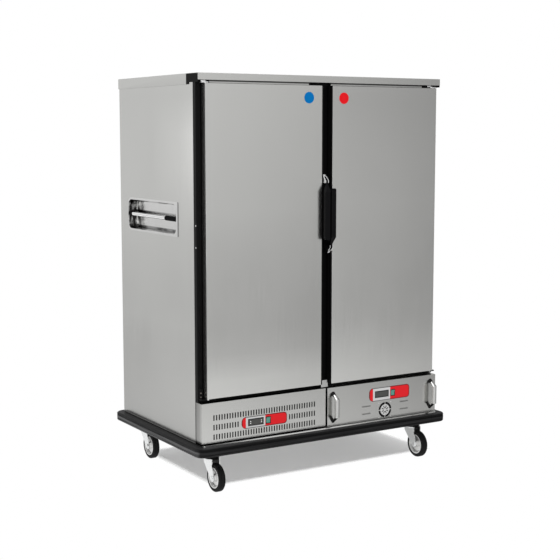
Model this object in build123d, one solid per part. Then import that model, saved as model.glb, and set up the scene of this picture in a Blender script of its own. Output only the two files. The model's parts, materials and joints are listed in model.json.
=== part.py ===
from build123d import *
from math import cos, radians, sin, tan
import os

# Hot and cold banquet trolley: an insulated two-door cabinet on a bumpered base with four swivel casters.
# Millimetres. X runs to the right seen from the front, the front faces -Y, Z is up from the floor.
# The origin is on the floor, under the middle of the bumper.

# Cabinet
body_width = 1262.0
body_depth = 734.0
trolley_height = 1800.0
caster_height = 160.0
base_height = 71.0
base_lip = 50.0
wall_thickness = 48.0
outer_sheet = 1.2
liner_sheet = 1.0
base_sheet = 2.0

# Front: black frame, door gasket, doors
frame_depth = 24.5
gasket_gap = 6.0
door_thickness = 33.0
door_gap = 55.0
door_side_margin = 25.0
door_rise = 200.0
door_head = 43.0
door_landing = 25.0
mullion_width = 84.0
frame_rise = 181.0
frame_chamfer = 2.0

# Lid
lid_sheet = 1.5
lid_overhang = 3.0
lid_front_setback = 10.0
lid_back_overhang = 4.0
lid_front_lip = 29.0
lid_side_lip = 46.0
lid_edge_radius = 1.2
corner_cap_length = 105.0
corner_cap_drop = 38.0
corner_cap_leg = 18.0
corner_cap_block = 14.0
corner_cap_radius = 2.5
head_strip_setback = 7.0
head_strip_door_gap = 2.5
head_strip_hinge_gap = 3.0
left_strip_end = -86.0
right_strip_start = 29.0
right_strip_margin = 49.0

# Bumper round the base
bumper_overhang = 37.0
bumper_lead = 41.0
bumper_thickness = 35.0
bumper_height = 39.0
bumper_drop = 5.0
bumper_corner_radius = 45.0
bumper_edge_radius = 7.0
bumper_corner_leg = 95.0
bumper_joint_gap = 1.0
bumper_groove_width = 4.0
bumper_groove_depth = 3.0
bumper_groove_heights = (11.0, 28.0)
front_joint_offsets = (-326.0, 70.0)
side_joint_offset = 12.0
flange_corner_gap = 0.2

# Machine space behind the two fascias
fascia_gap_below = 5.0
fascia_top_gap = 2.0
fascia_setback = 10.0
fascia_return = 62.0
fascia_split = 3.0
fascia_seam = 5.0
bay_partition_sheet = 1.2
bay_partition_setback = 30.0
drawer_gap_below = 2.0
drawer_proud = 6.0

# Cold fascia slots
slot_width = 6.0
slot_height = 24.0
slot_pitch = 13.15
slot_count = 40
slot_row_pitch = 42.0
slot_rows = 3
slot_field_rise = 71.5
overlay_slot_margin = 4.0

# Control overlays, display modules and rocker switches
overlay_length = 230.0
overlay_sheet = 1.5
overlay_left_radius = 22.0
overlay_right_radius = 15.0
cold_overlay_height = 52.0
cold_overlay_shift = -5.0
cold_overlay_rise = 72.0
hot_overlay_height = 62.0
hot_overlay_shift = 38.0
hot_overlay_rise = 119.0
display_width = 78.0
display_height = 31.0
display_offset = -44.5
display_proud = 1.0
display_recess = 0.8
display_rim = 3.0
module_depth = 52.0
module_fit = 0.3
rocker_offset = 18.5
rocker_width = 20.0
rocker_height = 25.0
rocker_cup_wall = 2.0
rocker_cup_floor = 2.0
rocker_cup_depth = 20.0
rocker_side_gap = 0.5
rocker_end_gap = 0.8
rocker_dip = 1.5
rocker_thickness = 8.0
rocker_axis_depth = 3.5
rocker_tilt = 7.0
rocker_pin_radius = 1.5

# Heater drawer
drawer_length = 640.0
drawer_side_height = 110.0
drawer_return = 56.0
drawer_side_gap = 6.0
drawer_runner_height = 7.0
drawer_runner_width = 14.0
drawer_runner_gap = 0.3
handle_inset = 31.0
handle_drop = 4.0
handle_foot_spacing = 129.0
handle_standoff = 31.0
handle_grip_length = 84.0
handle_grip_width = 21.0
handle_grip_depth = 20.0
handle_grip_radius = 8.0
handle_foot_base = 13.0
handle_foot_height = 16.0
handle_foot_radius = 3.0
fan_size = 64.0
fan_depth = 25.0
fan_bore_radius = 29.0
fan_rise = 42.0
fan_arm_depth = 3.6
fan_offset = -24.6
fan_arc_radius = 36.5
fan_arc_width = 10.5
fan_arc_gap = 5.0
fan_star_slots = 8
fan_star_inner = 7.0
fan_star_outer = 20.0
fan_star_width = 4.0
louvre_length = 48.0
louvre_height = 8.0
louvre_depth = 4.0
louvre_offset = 108.0
louvre_rows = (-9.0, 26.0)
heater_tube_radius = 4.0
heater_runs = 6
heater_run_length = 380.0
heater_run_pitch = 60.0
heater_height = 62.0
heater_front = 160.0
heater_leg_width = 16.0
heater_leg_sheet = 3.0

# Fan rotors
rotor_blades = 5
rotor_blade_sheet = 2.0
rotor_root_pitch = 38.0
rotor_tip_pitch = 24.0
shaft_radius = 3.0
running_gap = 0.05
rotor_tip_gap = 2.0

# Cooling machine
machine_inset = 200.0
condenser_width = 260.0
condenser_height = 140.0
condenser_depth = 40.0
condenser_fins = 12
condenser_fin_sheet = 1.5
condenser_tubes = 4
condenser_tube_height = 7.0
condenser_header_radius = 9.0
condenser_front_gap = 84.0
condenser_foot = 6.0
shroud_gap = 16.0
shroud_sheet = 1.5
shroud_bore_radius = 62.0
motor_radius = 30.0
motor_length = 42.0
motor_arm_width = 8.0
condenser_rotor_length = 22.0
condenser_rotor_hub = 24.0
compressor_radius = 72.0
compressor_height = 150.0
compressor_foot = 3.0
compressor_foot_width = 190.0
compressor_foot_depth = 150.0
compressor_setback = 393.0
compressor_stub_radius = 5.0
compressor_stub_length = 24.0
compressor_stub_heights = (38.0, 72.0)
compressor_dome = 45.0
vent_slot_length = 130.0
vent_slot_height = 6.0
vent_slot_pitch = 14.0
vent_slot_rows = 8

# Evaporator on the cold ceiling
evaporator_width = 420.0
evaporator_depth = 400.0
evaporator_height = 60.0
evaporator_sheet = 1.2
evaporator_bore_radius = 90.0
evaporator_arm_width = 10.0
evaporator_slot_height = 24.0
evaporator_slot_count = 12
evaporator_motor_length = 14.0
evaporator_rotor_length = 20.0
evaporator_rotor_hub = 30.0

# Tray racks
runner_pitch = 65.0
runner_first = 60.0
runner_top_margin = 110.0
runner_leg = 12.0
runner_face = 16.0
rack_sheet = 2.0
rack_upright_width = 30.0
rack_upright_inset = 70.0
rack_front_gap = 20.0

# Side grips
grip_length = 514.0
grip_height = 151.0
grip_front_flange = 21.0
grip_back_flange = 4.0
grip_side_flange = 9.0
grip_flange_radius = 6.0
grip_pocket_radius = 32.0
grip_pocket_depth = 42.0
grip_pocket_taper = 8.0
grip_sheet = 1.2
grip_back_shift = 30.0
grip_rise = 951.0
grip_bar_radius = 9.0
grip_bar_depth = 10.0
grip_bush_radius = 11.0
grip_front_bush = 112.0
grip_back_bush = 26.0
grip_bar_socket = 13.0
grip_hole_gap = 0.5

# Hinges
hinge_inset = 9.0
hinge_pin_radius = 5.0
hinge_pin_length = 22.0
hinge_boss_radius = 8.0
hinge_plate = 4.0
hinge_inner_reach = 17.0
hinge_top_reach = 20.0
hinge_bottom_reach = 31.0
hinge_tab_gap = 3.0
hinge_tab_rise = 40.0
hinge_door_gap = 2.0
hinge_leg_height = 12.0
hinge_top_leg_height = 22.0
hinge_nose = 8.0

# Door inside
gasket_width = 10.0
gasket_latch_inset = 3.0
gasket_hinge_inset = 11.0
gasket_end_inset = 12.0
gasket_gap_left = 0.3
emboss_inset = 22.0
emboss_height = 8.0
emboss_taper = 30.0
emboss_radius = 30.0
edge_profile_width = 5.0
edge_groove_width = 10.0
edge_groove_depth = 2.0

# Door latches
latch_above_middle = 103.0
latch_pivot_rise = 148.0
latch_taper_start = 97.0
latch_taper_end = 132.0
latch_grip_end = -114.0
latch_end_radius = 12.0
latch_grip_width = 26.0
latch_lever_gap = 4.0
latch_grip_back = 11.0
latch_grip_depth = 24.0
latch_edge_radius = 6.0
latch_pivot_out = 10.0
latch_pin_radius = 4.0
latch_neck_width = 9.0
latch_neck_x = -12.5
latch_neck_radius = 8.0
latch_ear = 4.0
latch_ear_gap = 0.4
latch_ear_height = 10.0
latch_ear_rise = 26.0
latch_ear_back = 8.0
latch_bridge_rise = 16.0
latch_tail_height = 12.0
latch_tail_gap = 0.8
keeper_plate = 3.0
keeper_cheek = 2.0
keeper_side_gap = 0.8
keeper_depth = 12.0
keeper_drop = 34.0
keeper_rise = 12.0
foot_bracket_width = 36.0
foot_bracket_height = 32.0
foot_bracket_depth = 24.0
foot_bracket_sheet = 3.0

# Casters
wheel_radius = 62.5
wheel_width = 30.0
tyre_depth = 16.5
tyre_shoulder = 7.0
tread_groove = 1.6
rim_fit = 0.05
rim_lip = 4.0
rim_web = 5.0
rim_web_dish = 5.0
hub_radius = 13.0
hub_length = 34.0
axle_radius = 6.0
axle_head_radius = 10.0
axle_head = 6.0
fork_sheet = 3.5
fork_hub_gap = 0.5
fork_top_width = 72.0
fork_foot_radius = 17.0
fork_foot_angle = 20.0
fork_rib = 5.0
crown_thickness = 5.0
crown_radius = 37.0
crown_gap = 0.3
caster_trail = 40.0
caster_plate_length = 105.0
caster_plate_width = 78.0
caster_plate = 4.0
race_height = 12.0
race_radius = 32.0
kingpin_radius = 6.0
kingpin_nut_radius = 10.0
kingpin_nut = 6.0
caster_left_inset = 141.0
caster_right_inset = 88.0
caster_front_inset = 152.75
caster_back_inset = 74.75
mount_sheet = 3.0

# Mains cable gland at the back
gland_radius = 11.0
gland_bore_radius = 5.0
gland_nut_radius = 14.0
gland_nut = 6.0
gland_length = 18.0
gland_inset = 35.0
gland_rise = 69.0

# Worked-out places
front_stack = frame_depth + gasket_gap + door_thickness
bumper_width = body_width + 2 * bumper_overhang
bumper_depth = bumper_overhang + body_depth + front_stack + bumper_lead
body_half = body_width / 2
body_back = bumper_depth / 2 - bumper_overhang
panel_front = body_back - body_depth
frame_front = panel_front - frame_depth
door_back = frame_front - gasket_gap
door_front = door_back - door_thickness
lid_front = door_front + lid_front_setback
base_top = caster_height + base_height
door_bottom = base_top + door_rise
door_height = trolley_height - door_head - door_bottom
frame_bottom = base_top + frame_rise
base_half_width = bumper_width / 2 - bumper_thickness
base_half_depth = bumper_depth / 2 - bumper_thickness
panel_inside = body_half - outer_sheet
panel_top = trolley_height - lid_sheet
bay_outside = body_half - wall_thickness
bay_inside = mullion_width / 2
bay_back = body_back - wall_thickness
door_top = door_bottom + door_height
bay_floor = door_bottom + door_landing
bay_top = door_top - door_landing
door_inside = door_gap / 2
door_outside = body_half - door_side_margin
door_latch_face = door_inside - edge_profile_width
hinge_x = door_outside - hinge_inset
hinge_y = door_front + door_thickness / 2
fascia_front = door_front + fascia_setback
fascia_bottom = base_top + fascia_gap_below
fascia_top = frame_bottom - fascia_top_gap
drawer_bottom = base_top + drawer_gap_below
drawer_front_y = fascia_front - drawer_proud
drawer_left = fascia_split + bay_partition_sheet + fascia_seam
drawer_right = panel_inside - bay_partition_sheet
drawer_floor = base_top + drawer_runner_height + drawer_runner_gap
slot_field_x = (fascia_split - panel_inside) / 2
slot_field_z = base_top + slot_field_rise
cold_overlay_x = slot_field_x + cold_overlay_shift
cold_overlay_z = base_top + cold_overlay_rise
hot_overlay_x = (drawer_left + drawer_right) / 2 + hot_overlay_shift
hot_overlay_z = base_top + hot_overlay_rise
fan_x = hot_overlay_x + fan_offset
fan_z = base_top + fan_rise
machine_x = machine_inset - panel_inside
compressor_y = panel_front + compressor_setback
gland_x = gland_inset - panel_inside
gland_z = base_top + gland_rise
grip_center_y = (panel_front + body_back) / 2 + grip_back_shift
grip_center_z = base_top + grip_rise
latch_center_z = door_bottom + door_height / 2 + latch_above_middle
latch_pivot_z = latch_center_z + latch_pivot_rise
latch_pivot_y = door_front - latch_pivot_out
latch_x = -(latch_lever_gap + latch_grip_width) / 2
axle_z = wheel_radius
fork_inside = hub_length / 2 + fork_hub_gap


def slab(x_span, y_span, z_span):
    """Rectangular solid between two limits on each axis."""
    size = [abs(span[1] - span[0]) for span in (x_span, y_span, z_span)]
    middle = [(span[0] + span[1]) / 2 for span in (x_span, y_span, z_span)]
    return Pos(*middle) * Box(*size)


def front_sheet(outline, front_y, thickness):
    """Outline drawn in X and Z, made into a sheet that runs back from front_y."""
    plane = Plane(origin=(0, front_y, 0), x_dir=(1, 0, 0), z_dir=(0, -1, 0))
    return extrude(plane * outline, amount=-thickness)


def side_profile(points, x_from, x_to):
    """Outline through points in Y and Z, made into a solid from x_from to x_to."""
    outline = make_face(Polyline(*points, close=True))
    return Pos(x_from, 0, 0) * extrude(Plane.YZ * outline, amount=x_to - x_from)


def opposite(shape):
    """The same piece on the other side of the trolley."""
    return mirror(shape, about=Plane.YZ)


def upright(radius, x, y, z_from, z_to):
    """Round bar along Z."""
    return Pos(x, y, (z_from + z_to) / 2) * Cylinder(radius, abs(z_to - z_from))


def cross_bar(radius, y, z, x_from, x_to):
    """Round bar along X."""
    return Pos((x_from + x_to) / 2, y, z) * Rot(0, 90, 0) * Cylinder(radius, abs(x_to - x_from))


def deep_bar(radius, x, z, y_from, y_to):
    """Round bar along Y."""
    return Pos(x, (y_from + y_to) / 2, z) * Rot(90, 0, 0) * Cylinder(radius, abs(y_to - y_from))


def group(pieces):
    """Separate solids of one node."""
    return Compound(children=[solid for piece in pieces for solid in piece.solids()])


# Base and bumper
def caster_places():
    """Kingpin places of the four casters."""
    left = caster_left_inset - bumper_width / 2
    right = bumper_width / 2 - caster_right_inset
    front = caster_front_inset - bumper_depth / 2
    back = bumper_depth / 2 - caster_back_inset
    return {
        "front_left": (left, front),
        "front_right": (right, front),
        "back_left": (left, back),
        "back_right": (right, back),
    }


def base_outline():
    corner = bumper_corner_radius - bumper_thickness + flange_corner_gap
    return RectangleRounded(2 * base_half_width, 2 * base_half_depth, corner)


def caster_mount(x, y):
    """Channel under the tray: a floor that takes the caster's plate, and two webs up to the tray."""
    x_span = (x - caster_plate_length / 2, x + caster_plate_length / 2)
    y_span = (y - caster_plate_width / 2, y + caster_plate_width / 2)
    channel = slab(x_span, y_span, (caster_height, base_top - base_sheet / 2))
    inside = (x_span[0] + mount_sheet, x_span[1] - mount_sheet)
    channel -= slab(inside, y_span, (caster_height + mount_sheet, base_top))
    room = offset(base_outline(), -base_sheet / 2)
    return channel & Pos(0, 0, caster_height) * extrude(room, amount=base_height)


def drawer_runner_spans():
    left = drawer_left + drawer_side_gap
    right = drawer_right - drawer_side_gap
    return ((left, left + drawer_runner_width), (right - drawer_runner_width, right))


def make_base_tray():
    """Folded tray with caster mounts; on it the drawer's runners and the sheet beside the drawer."""
    lip_bottom = base_top - base_lip
    tray = Pos(0, 0, lip_bottom) * extrude(base_outline(), amount=base_lip)
    inside = offset(base_outline(), -base_sheet)
    tray -= Pos(0, 0, lip_bottom) * extrude(inside, amount=base_lip - base_sheet)
    for x, y in caster_places().values():
        tray += caster_mount(x, y)
    back = body_back - outer_sheet
    partition = slab(
        (fascia_split, fascia_split + bay_partition_sheet),
        (fascia_front + bay_partition_setback, back),
        (base_top, frame_bottom - liner_sheet),
    )
    runners = [
        slab(span, (panel_front, back), (base_top, base_top + drawer_runner_height))
        for span in drawer_runner_spans()
    ]
    return group([tray, partition, *runners])


def bumper_ring():
    """Black extrusion bent round the base, with lengthwise grooves and rounded lips."""
    outline = RectangleRounded(bumper_width, bumper_depth, bumper_corner_radius)
    inner = offset(outline, -bumper_thickness)
    bottom = base_top - bumper_drop - bumper_height
    ring = Pos(0, 0, bottom) * extrude(outline, amount=bumper_height)
    rims = ring.faces().sort_by(Axis.Z)
    ring = fillet(rims[0].edges() + rims[-1].edges(), bumper_edge_radius)
    ring -= Pos(0, 0, bottom) * extrude(inner, amount=bumper_height)
    band = outline - offset(outline, -bumper_groove_depth)
    for height in bumper_groove_heights:
        start = bottom + height - bumper_groove_width / 2
        ring -= Pos(0, 0, start) * extrude(band, amount=bumper_groove_width)
    return ring


def bumper_pieces():
    """Four moulded corners and the straight rails between them."""
    ring = bumper_ring()
    end_x = bumper_width / 2 - bumper_corner_leg
    end_y = bumper_depth / 2 - bumper_corner_leg
    far = bumper_width
    half_gap = bumper_joint_gap / 2
    z_span = (0, trolley_height)
    corners = [
        ring & slab((sx * (end_x + half_gap), sx * far), (sy * (end_y + half_gap), sy * far), z_span)
        for sx in (-1, 1)
        for sy in (-1, 1)
    ]
    front_stops = (-end_x, *front_joint_offsets, end_x)
    side_stops = (-end_y, side_joint_offset, end_y)
    rails = []
    for start, stop in zip(front_stops, front_stops[1:]):
        for sign in (-1, 1):
            rails.append(ring & slab((start + half_gap, stop - half_gap), (0, sign * far), z_span))
    for start, stop in zip(side_stops, side_stops[1:]):
        for sign in (-1, 1):
            rails.append(ring & slab((0, sign * far), (start + half_gap, stop - half_gap), z_span))
    return rails + corners


# Cabinet shell
def grip_frame():
    """Plane on the left side panel, at the middle of the recessed grip, facing out."""
    return Plane(origin=(-body_half, grip_center_y, grip_center_z), x_dir=(0, -1, 0), z_dir=(-1, 0, 0))


def grip_pocket_outline():
    """Pocket, set towards the back of its flange."""
    length = grip_length - grip_front_flange - grip_back_flange
    height = grip_height - 2 * grip_side_flange
    shift = (grip_back_flange - grip_front_flange) / 2
    return Pos(shift, 0) * RectangleRounded(length, height, grip_pocket_radius)


def grip_flange_outline():
    """Flange with small corners in front and the pocket's round end at the back."""
    plate = Rectangle(grip_length, grip_height)
    plate = fillet(plate.vertices().group_by(Axis.X)[-1], grip_flange_radius)
    return fillet(plate.vertices().group_by(Axis.X)[0], grip_pocket_radius + grip_back_flange)


def grip_clearance():
    """Room cut through the panel and its foam for the dish."""
    outline = offset(grip_pocket_outline(), grip_sheet + grip_hole_gap)
    return extrude(grip_frame() * outline, amount=-(grip_pocket_depth + grip_sheet + grip_hole_gap))


def make_side_panels():
    left = slab((-body_half, -panel_inside), (panel_front, body_back), (base_top, panel_top))
    left -= grip_clearance()
    return group([left, opposite(left)])


def make_back_panel():
    """Back sheet with a slotted vent behind the cooling machine."""
    through = (body_back - outer_sheet, body_back)
    sheet = slab((-panel_inside, panel_inside), through, (base_top, panel_top))
    middle = (base_top + frame_bottom) / 2
    first = middle - (vent_slot_rows - 1) * vent_slot_pitch / 2
    for row in range(vent_slot_rows):
        z = first + row * vent_slot_pitch
        for side in (-1, 1):
            x = machine_x + side * (vent_slot_length / 2 + vent_slot_pitch)
            sheet -= slab(
                (x - vent_slot_length / 2, x + vent_slot_length / 2),
                through,
                (z - vent_slot_height / 2, z + vent_slot_height / 2),
            )
    return sheet - deep_bar(gland_radius, gland_x, gland_z, *through)


def make_lid():
    """Shallow sheet pan with a strip hung behind its front lip over each door."""
    half = body_half + lid_overhang
    back = body_back + lid_back_overhang
    side_bottom = trolley_height - lid_side_lip
    pan = slab((-half, half), (lid_front, back), (side_bottom, trolley_height))
    pan = fillet(pan.faces().sort_by(Axis.Z)[-1].edges(), lid_edge_radius)
    hollow_x = (-half + lid_sheet, half - lid_sheet)
    pan -= slab(hollow_x, (lid_front + lid_sheet, back - lid_sheet), (side_bottom, panel_top))
    lip_back = lid_front + lid_sheet
    pan -= slab((-half, half), (lid_front, lip_back), (side_bottom, trolley_height - lid_front_lip))
    cap_back = lip_back + corner_cap_length
    for sign in (-1, 1):
        lip_x = (sign * (half - lid_sheet), sign * half)
        pan -= slab(lip_x, (lip_back, cap_back), (side_bottom, panel_top))
    strip_front = lip_back + head_strip_setback
    strip_y = (strip_front, strip_front + outer_sheet)
    left_start = hinge_inner_reach + head_strip_hinge_gap - hinge_x
    for span in ((left_start, left_strip_end), (right_strip_start, bay_outside - right_strip_margin)):
        pan += slab(span, strip_y, (door_top + head_strip_door_gap, panel_top))
    return pan


def make_lid_corner_caps():
    """Black moulded caps on the sides of the lid's front corners, each with a short leg at its back end."""
    half = body_half + lid_overhang
    start = lid_front + lid_sheet
    stop = start + corner_cap_length
    bottom = trolley_height - corner_cap_drop
    leg_bottom = trolley_height - lid_side_lip
    outline = [
        (start, panel_top),
        (stop, panel_top),
        (stop, leg_bottom),
        (stop - corner_cap_leg, leg_bottom),
        (stop - corner_cap_leg, bottom),
        (start, bottom),
    ]
    cap = side_profile(outline, -half, -body_half)
    hinge_side = frame_front - hinge_plate - hinge_nose
    cap += slab((-half, -half + corner_cap_block), (start, hinge_side), (bottom, panel_top))
    outer_edges = cap.faces().sort_by(Axis.X)[0].edges().filter_by(Axis.Y)
    cap = fillet(outer_edges.sort_by(Axis.Z)[:2], corner_cap_radius)
    return group([cap, opposite(cap)])


def make_front_frame():
    """Black frame of mitred-up bars: two stiles, a mullion, and rails above and below each doorway."""
    y_span = (frame_front, panel_front)
    z_span = (frame_bottom, panel_top)
    stile = slab((-body_half, -bay_outside), y_span, z_span)
    outer_edge = stile.edges().filter_by(Axis.Z).group_by(Axis.Y)[0].sort_by(Axis.X)[0]
    stile = chamfer(outer_edge, frame_chamfer)
    mullion = slab((-bay_inside, bay_inside), y_span, z_span)
    head = slab((-bay_outside, -bay_inside), y_span, (bay_top, panel_top))
    sill = slab((-bay_outside, -bay_inside), y_span, (frame_bottom, bay_floor))
    return group([stile, opposite(stile), mullion, head, opposite(head), sill, opposite(sill)])


def make_insulation():
    """Foam slabs between the outer sheets and the liners."""
    foam_x = bay_outside + liner_sheet
    foam_back = bay_back + liner_sheet
    floor_top = bay_floor - liner_sheet
    ceiling = bay_top + liner_sheet
    middle = bay_inside - liner_sheet
    side = slab((-panel_inside, -foam_x), (panel_front, body_back - outer_sheet), (frame_bottom, panel_top))
    side -= grip_clearance()
    across = (-foam_x, foam_x)
    through = (panel_front, foam_back)
    back = slab(across, (foam_back, body_back - outer_sheet), (frame_bottom, panel_top))
    top = slab(across, through, (ceiling, panel_top))
    floor = slab(across, through, (frame_bottom, floor_top))
    core = slab((-middle, middle), through, (floor_top, ceiling))
    return group([side, opposite(side), back, top, floor, core])


def make_liners():
    """Sheet linings of the two bays, and the sheets under their floors."""
    outside = bay_outside + liner_sheet
    inside = bay_inside - liner_sheet
    through = (panel_front, bay_back)
    floor_z = (bay_floor - liner_sheet, bay_floor)
    ceiling_z = (bay_top, bay_top + liner_sheet)
    wall_z = (bay_floor, bay_top)
    full_z = (floor_z[0], ceiling_z[1])
    under_z = (frame_bottom - liner_sheet, frame_bottom)
    cold = [
        slab((-outside, -inside), through, floor_z),
        slab((-outside, -inside), through, ceiling_z),
        slab((-outside, -bay_outside), through, wall_z),
        slab((-bay_inside, -inside), through, wall_z),
        slab((-outside, -inside), (bay_back, bay_back + liner_sheet), full_z),
        slab((-panel_inside, 0), (panel_front, body_back - outer_sheet), under_z),
    ]
    return group(cold + [opposite(sheet) for sheet in cold])


def rack_levels():
    room = bay_top - bay_floor - runner_first - runner_top_margin
    return [bay_floor + runner_first + step * runner_pitch for step in range(int(room / runner_pitch) + 1)]


def make_rack_ladders():
    """Tray racks on the side walls of both bays: two posts, and an angle on them at each level."""
    wall = -bay_outside
    face = wall + rack_sheet
    start = panel_front + rack_front_gap
    stop = bay_back - rack_front_gap
    levels = rack_levels()
    left = []
    for place in (start + rack_upright_inset, stop - rack_upright_inset - rack_upright_width):
        left.append(slab((wall, face), (place, place + rack_upright_width), (bay_floor, levels[-1])))
    for z in levels:
        shelf = slab((face, face + runner_leg), (start, stop), (z - rack_sheet, z))
        left.append(shelf + slab((face, face + rack_sheet), (start, stop), (z - runner_face, z)))
    right = [Pos(-bay_outside - bay_inside, 0, 0) * opposite(piece) for piece in left]
    cold = left + right
    return group(cold + [opposite(piece) for piece in cold])


# Side grips
def make_grip_dish():
    """Pressed dish: a flat flange round a pocket with drafted walls."""
    frame = grip_frame()
    pocket = grip_pocket_outline()
    dish = extrude(frame * grip_flange_outline(), amount=grip_sheet)
    dish += extrude(frame * offset(pocket, grip_sheet), amount=-grip_pocket_depth, taper=grip_pocket_taper)
    hollow_depth = grip_pocket_depth - grip_sheet
    dish -= extrude(frame * pocket, amount=-hollow_depth, taper=grip_pocket_taper)
    return dish - extrude(frame * pocket, amount=grip_sheet)


def grip_bar_ends():
    """Where the bar's line meets the pocket's end walls, in front and at the back."""
    draft = (grip_bar_depth + grip_bush_radius) * tan(radians(grip_pocket_taper))
    front = grip_center_y - grip_length / 2 + grip_front_flange + draft
    back = grip_center_y + grip_length / 2 - grip_back_flange - draft
    return front, back


def grip_rod(radius, y_from, y_to):
    return deep_bar(radius, -body_half + grip_bar_depth, grip_center_z, y_from, y_to)


def make_grip_bars():
    front, back = grip_bar_ends()
    bar_front = front + grip_front_bush - grip_bar_socket
    bar = grip_rod(grip_bar_radius, bar_front, back - grip_back_bush + grip_bar_socket)
    return group([bar, opposite(bar)])


def make_grip_bushes():
    """Black sleeves that hold the bar's ends against the pocket's end walls, a long one in front."""
    front, back = grip_bar_ends()
    bushes = []
    for end, mouth in ((front, front + grip_front_bush), (back, back - grip_back_bush)):
        socket = mouth + grip_bar_socket if mouth < end else mouth - grip_bar_socket
        bushes.append(grip_rod(grip_bush_radius, end, mouth) - grip_rod(grip_bar_radius, socket, mouth))
    return group(bushes + [opposite(bush) for bush in bushes])


# Fascias and controls
def overlay_outline(height):
    """Long printed plate with a rounder left end."""
    plate = Rectangle(overlay_length, height)
    ends = plate.vertices().group_by(Axis.X)
    plate = fillet(ends[-1], overlay_right_radius)
    return fillet(plate.vertices().group_by(Axis.X)[0], overlay_left_radius)


def rocker_cup_size():
    width = rocker_width + 2 * (rocker_side_gap + rocker_cup_wall)
    height = rocker_height + 2 * (rocker_end_gap + rocker_cup_wall)
    return width, height


def control_windows(fit):
    """Outlines of the display and the switch in an overlay, grown by fit."""
    width, height = rocker_cup_size()
    display = Pos(display_offset, 0) * Rectangle(display_width + 2 * fit, display_height + 2 * fit)
    switch = Pos(rocker_offset, 0) * Rectangle(width + 2 * fit, height + 2 * fit)
    return display + switch


def make_overlay(x, z, height, front_y):
    outline = overlay_outline(height) - control_windows(module_fit)
    return front_sheet(Pos(x, z) * outline, front_y - overlay_sheet, overlay_sheet)


def make_control_module(x, z, front_y):
    """Display unit and switch cup, side by side, set through the overlay and the fascia."""
    face_y = front_y - overlay_sheet - display_proud
    display_x = x + display_offset
    unit = slab(
        (display_x - display_width / 2, display_x + display_width / 2),
        (face_y, face_y + module_depth),
        (z - display_height / 2, z + display_height / 2),
    )
    unit -= slab(
        (display_x - display_width / 2 + display_rim, display_x + display_width / 2 - display_rim),
        (face_y, face_y + display_recess),
        (z - display_height / 2 + display_rim, z + display_height / 2 - display_rim),
    )
    width, height = rocker_cup_size()
    switch_x = x + rocker_offset
    cup = slab(
        (switch_x - width / 2, switch_x + width / 2),
        (face_y, face_y + rocker_cup_depth),
        (z - height / 2, z + height / 2),
    )
    cup -= slab(
        (switch_x - width / 2 + rocker_cup_wall, switch_x + width / 2 - rocker_cup_wall),
        (face_y, face_y + rocker_cup_depth - rocker_cup_floor),
        (z - height / 2 + rocker_cup_wall, z + height / 2 - rocker_cup_wall),
    )
    cup -= cross_bar(
        rocker_pin_radius + running_gap,
        face_y + rocker_axis_depth,
        z,
        switch_x - width / 2,
        switch_x + width / 2,
    )
    return group([unit, cup])


def rocker_axis_y(front_y):
    return front_y - overlay_sheet - display_proud + rocker_axis_depth


def make_rocker(x, z, front_y):
    """Switch paddle with a dished face, tipped to one side, on two stub pins."""
    half = rocker_height / 2
    face = -rocker_axis_depth
    back = rocker_thickness - rocker_axis_depth
    outline = Polyline((face, half), (back, half), (back, -half), (face, -half))
    outline += ThreePointArc((face, -half), (face + rocker_dip, 0), (face, half))
    paddle = Pos(-rocker_width / 2, 0, 0) * extrude(Plane.YZ * make_face(outline), amount=rocker_width)
    pin_reach = rocker_width / 2 + rocker_side_gap + rocker_cup_wall / 2
    paddle += cross_bar(rocker_pin_radius, 0, 0, -pin_reach, pin_reach)
    return Pos(x + rocker_offset, rocker_axis_y(front_y), z) * Rot(rocker_tilt, 0, 0) * paddle


def fascia_pan(x_from, x_to, front_y, depth, bottom, holes):
    """Shallow sheet pan with four returns and holes through its face."""
    pan = slab((x_from, x_to), (front_y, front_y + depth), (bottom, fascia_top))
    pan -= slab(
        (x_from + outer_sheet, x_to - outer_sheet),
        (front_y + outer_sheet, front_y + depth),
        (bottom + outer_sheet, fascia_top - outer_sheet),
    )
    return pan - front_sheet(holes, front_y, outer_sheet)


def slot_field():
    """Rows of upright slots, left out where the control overlay covers them."""
    reach_x = overlay_length / 2 + overlay_slot_margin
    reach_z = cold_overlay_height / 2
    slots = []
    for row in range(slot_rows):
        z = slot_field_z + (row - (slot_rows - 1) / 2) * slot_row_pitch
        for column in range(slot_count):
            x = slot_field_x + (column - (slot_count - 1) / 2) * slot_pitch
            covered_x = abs(x - cold_overlay_x) < reach_x + slot_width / 2
            covered_z = abs(z - cold_overlay_z) < reach_z
            if not (covered_x and covered_z):
                slots.append(Pos(x, z) * Rectangle(slot_width, slot_height))
    return slots


def make_cold_fascia():
    windows = Pos(cold_overlay_x, cold_overlay_z) * control_windows(module_fit)
    holes = Sketch() + slot_field() + windows
    return fascia_pan(-panel_inside, fascia_split, fascia_front, fascia_return, fascia_bottom, holes)


# Heater drawer
def fan_grille():
    """Four arc slots round a star of short slots."""
    ring = Circle(fan_arc_radius) - Circle(fan_arc_radius - fan_arc_width)
    across = 2 * fan_arc_radius + fan_arc_gap
    ring -= Rectangle(fan_arc_gap, across) + Rectangle(across, fan_arc_gap)
    reach = (fan_star_outer + fan_star_inner) / 2
    length = fan_star_outer - fan_star_inner
    star = [
        Rot(0, 0, 360 * (step + 0.5) / fan_star_slots) * Pos(reach, 0) * Rectangle(length, fan_star_width)
        for step in range(fan_star_slots)
    ]
    return Pos(fan_x, fan_z) * (ring + star)


def louvre_places():
    return [(fan_x + side * louvre_offset, fan_z + row) for side in (-1, 1) for row in louvre_rows]


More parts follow.
